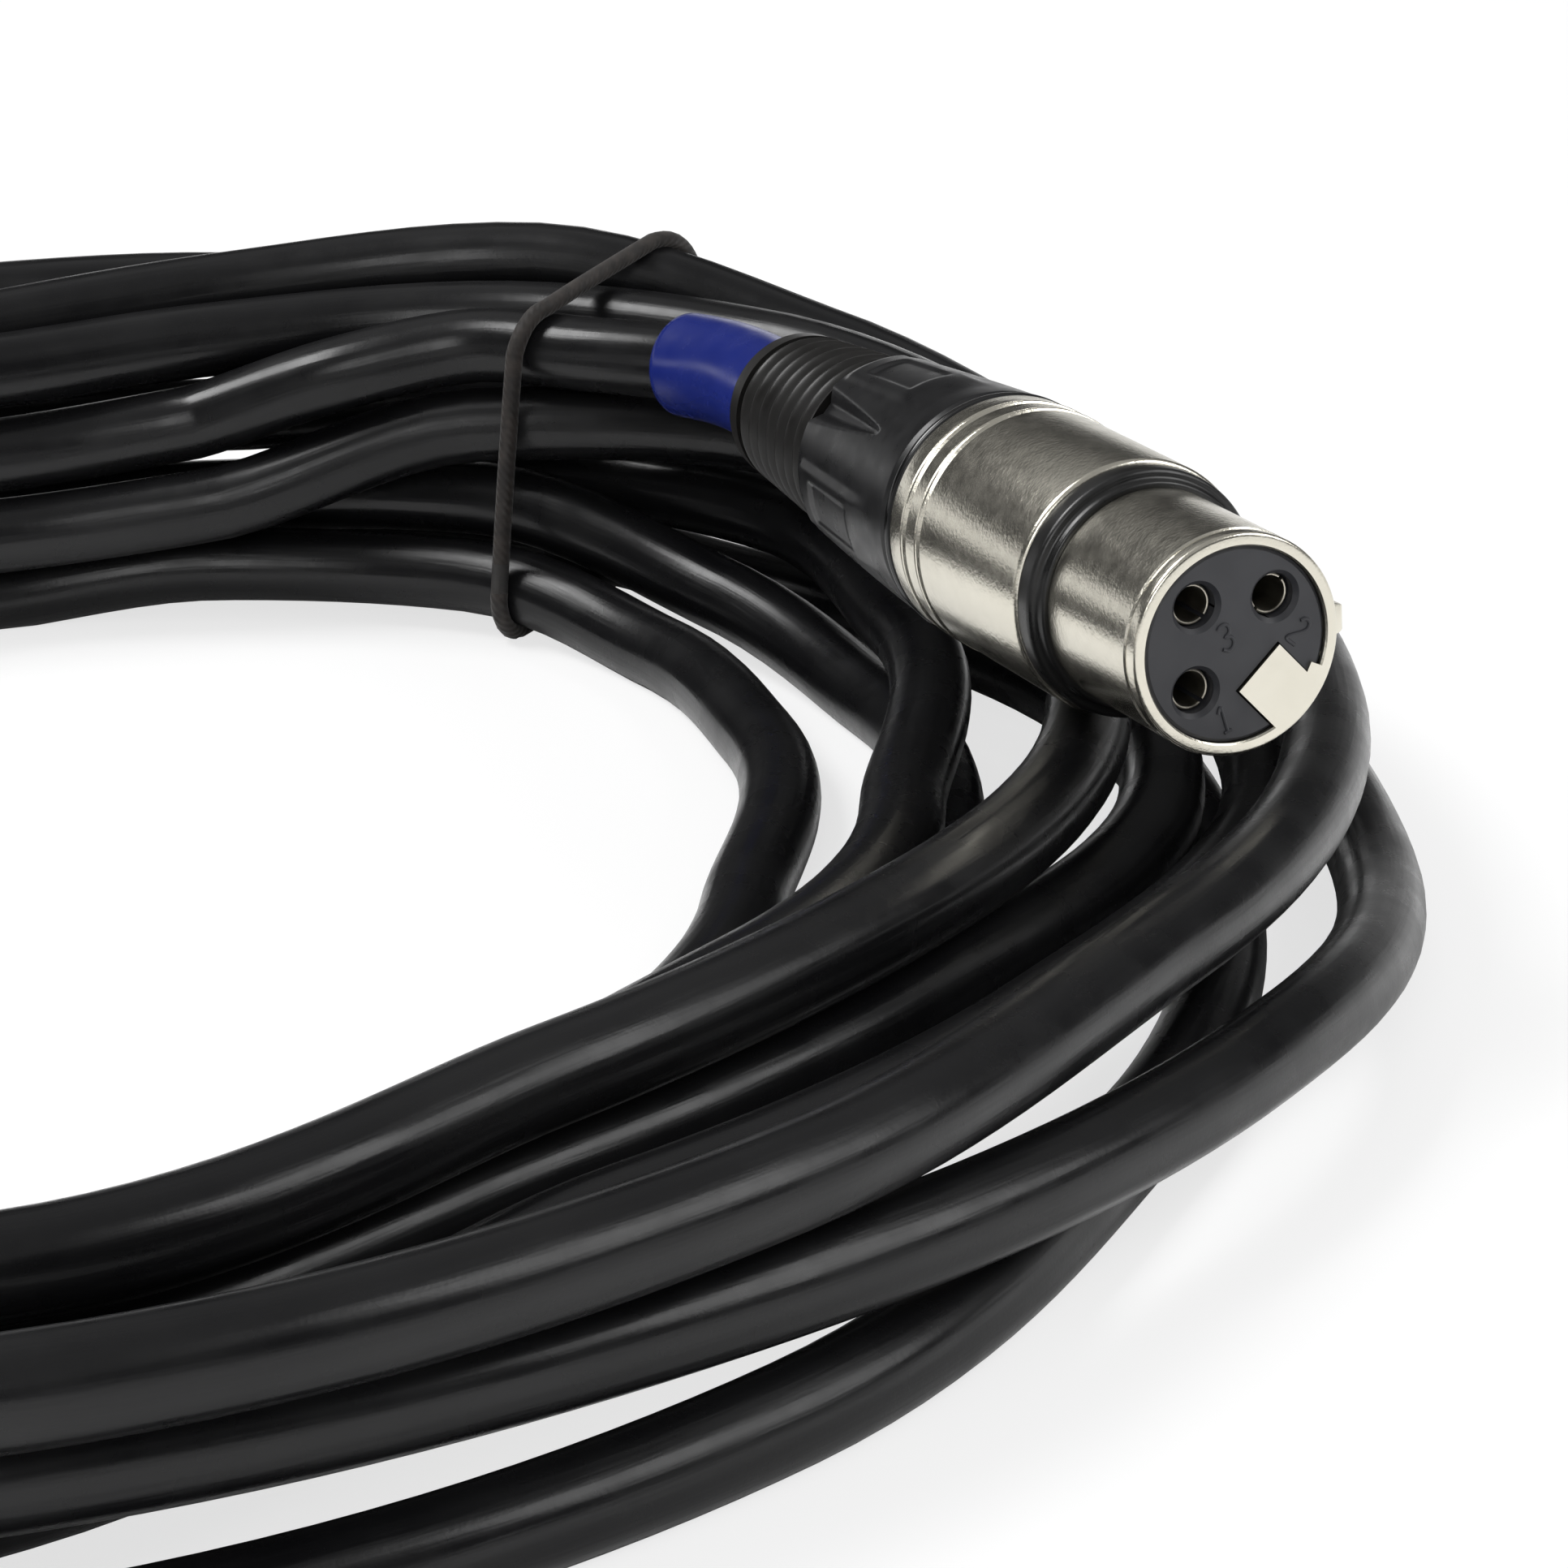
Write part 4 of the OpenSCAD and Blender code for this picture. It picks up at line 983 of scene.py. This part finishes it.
def male_piece(name, mesh, material, node=None, angle=35):
    """A piece that goes with the cable's far end."""
    piece = fit(male, name, mesh, "coil", material, node, angle)
    male_pieces.append(piece)


male_piece("male_shell_shape", male_shell(), NICKEL, "male_shell", 32)
male_piece("male_insert_shape", male_insert(), INSERT, "male_insert", 30)
for k in range(3):
    node = "male_pin_%d" % (k + 1)
    male_piece(node + "_shape", male_pin(k), PIN, node)
for text, at, turn in (("3", (-0.9, 4.6), 0), ("2", (-5.6, 2.0), 0), ("1", (5.5, -1.9), 0)):
    male_piece("male_digit_" + text, digit("digit", text, at, turn, -CAVITY_LEN + 0.01), INSERT)
male_pieces += rear_pieces(male, "male")

# ---- coloured sleeves ------------------------------------------------------------------
SLEEVE_INSIDE = 8                             # how far a sleeve reaches into its boot
SLEEVE_OUT = {"female": 0.7, "male": 0.4}     # share of the last stretch that each covers
SLEEVE_EASE = {"female": 100, "male": 15}     # rounds of smoothing


def sleeve_way(conn, name, first, last):
    """From inside the boot past the lead's first point, and on towards its next one."""
    stations = [conn.axis(s) for s in (-BOOT_END - SLEEVE_INSIDE,) + BEHIND_BOOT[::-1]]
    return stations + [first, first.lerp(last, SLEEVE_OUT[name])]


def sleeve(name, line):
    dense = smooth(line, line[0] * 2 - line[1], line[-1] * 2 - line[-2], 0.5)
    for k in range(SLEEVE_EASE[name]):
        dense[1:-1] = [(a + 2 * b + c) / 4 for a, b, c in zip(dense, dense[1:], dense[2:])]
    piece = new_object(name + "_sleeve_shape", tube("sleeve", dense, SLEEVE_R, 48, ends=0.55),
                       "coil", BLUE, name + "_sleeve")
    return piece


sleeve("female", sleeve_way(female, "female", FEMALE_LEAD[2], FEMALE_LEAD[1]))
# The male lead was bent wider, so its sleeve runs along the cable's own line
male_way = sleeve_way(male, "male", MALE_LEAD[0], MALE_LEAD[1])
first, last = on_male_lead(male_way[0]), on_male_lead(male_way[-1])
male_pieces.append(sleeve("male", cable_line[first:last + 1]))

# ---- solids that stay, with their materials --------------------------------------------
for name, material in (("female_latch_pin", STEEL), ("female_latch_spring", SPRING),
                       ("female_ground_tab", SPRING), ("female_cores", WIRES),
                       ("male_cores", WIRES), ("female_clamp", CLAMP), ("male_clamp", CLAMP)):
    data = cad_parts[name].data
    data.materials.clear()
    data.materials.append(material)

# ---- stage -----------------------------------------------------------------------------
FLOOR_SIZE = 6.0
FLOOR_GLOW = 0.72          # share of white light in what the camera sees of the floor


def floor_material():
    m = Nodes("floor")
    m.set(Base_Color=(0.86, 0.86, 0.86, 1), Roughness=0.9, Specular_IOR_Level=0.1)
    glow = m.add("ShaderNodeEmission")
    glow.inputs["Color"].default_value = (1, 1, 1, 1)
    mix = m.add("ShaderNodeMixShader")
    light = m.add("ShaderNodeLightPath")
    share = m.add("ShaderNodeMath", operation="MULTIPLY")
    share.inputs[1].default_value = FLOOR_GLOW
    m.link(light.outputs["Is Camera Ray"], share.inputs[0])
    m.link(share.outputs[0], mix.inputs["Fac"])
    m.link(m.shader.outputs["BSDF"], mix.inputs[1])
    m.link(glow.outputs["Emission"], mix.inputs[2])
    m.link(mix.outputs["Shader"], m.tree.nodes["Material Output"].inputs["Surface"])
    return m.material


half = FLOOR_SIZE / 2
floor = bpy.data.objects.new("floor", prism("floor", box_outline(-half, half, half), -0.02, 0.0))
bpy.context.scene.collection.objects.link(floor)
floor.data.materials.append(floor_material())

# The camera and glass see a white backdrop. Shiny things see it low down, with a dark edge and a
# grey ceiling above it. All else is lit evenly.
AMBIENT = 0.55
CEILING = [(0.0, 1.0), (0.10, 1.0), (0.17, 0.03), (0.48, 0.03), (0.64, 0.32), (1.0, 0.32)]
world = bpy.data.worlds.new("studio")
bpy.context.scene.world = world
world.use_nodes = True
tree = world.node_tree
tree.nodes.clear()


def background(strength):
    node = tree.nodes.new("ShaderNodeBackground")
    node.inputs["Color"].default_value = (1, 1, 1, 1)
    node.inputs["Strength"].default_value = strength
    return node


def either(test, plain, special):
    """special for the rays that the test names, and plain for the others."""
    node = tree.nodes.new("ShaderNodeMixShader")
    tree.links.new(test, node.inputs["Fac"])
    tree.links.new(plain.outputs[0], node.inputs[1])
    tree.links.new(special.outputs[0], node.inputs[2])
    return node


light = tree.nodes.new("ShaderNodeLightPath")
coords = tree.nodes.new("ShaderNodeTexCoord")
height = tree.nodes.new("ShaderNodeSeparateXYZ")
ramp = tree.nodes.new("ShaderNodeValToRGB")
room = background(1.0)
tree.links.new(coords.outputs["Generated"], height.inputs[0])
tree.links.new(height.outputs["Z"], ramp.inputs["Fac"])
tree.links.new(ramp.outputs["Color"], room.inputs["Color"])
while len(ramp.color_ramp.elements) < len(CEILING):
    ramp.color_ramp.elements.new(0.5)
for element, (at, level) in zip(ramp.color_ramp.elements, CEILING):
    element.position = at
    element.color = (level, level, level, 1)
seen = tree.nodes.new("ShaderNodeMath")
seen.operation = "MAXIMUM"
tree.links.new(light.outputs["Is Camera Ray"], seen.inputs[0])
tree.links.new(light.outputs["Is Transmission Ray"], seen.inputs[1])
shown = either(light.outputs["Is Glossy Ray"], background(AMBIENT), room)
shown = either(seen.outputs[0], shown, background(1.0))
out = tree.nodes.new("ShaderNodeOutputWorld")
tree.links.new(shown.outputs[0], out.inputs["Surface"])

CENTRE = Vector((0.0, 0.0, 0.02))


def softbox(name, at, size, power):
    """A rectangular lamp that points at the coil."""
    light = bpy.data.lights.new(name, "AREA")
    light.shape = "RECTANGLE"
    light.size, light.size_y = size
    light.energy = power
    obj = bpy.data.objects.new(name, light)
    bpy.context.scene.collection.objects.link(obj)
    obj.location = Vector(at)
    obj.rotation_mode = "QUATERNION"
    obj.rotation_quaternion = (CENTRE - Vector(at)).to_track_quat("-Z", "Y")


softbox("key", (-0.35, 0.35, 0.75), (0.5, 0.35), 7.0)
softbox("fill", (0.6, -0.5, 0.6), (0.5, 0.5), 3.0)
softbox("front", (-0.6, -0.7, 0.5), (0.4, 0.4), 2.0)

bpy.context.scene.view_settings.view_transform = "Standard"
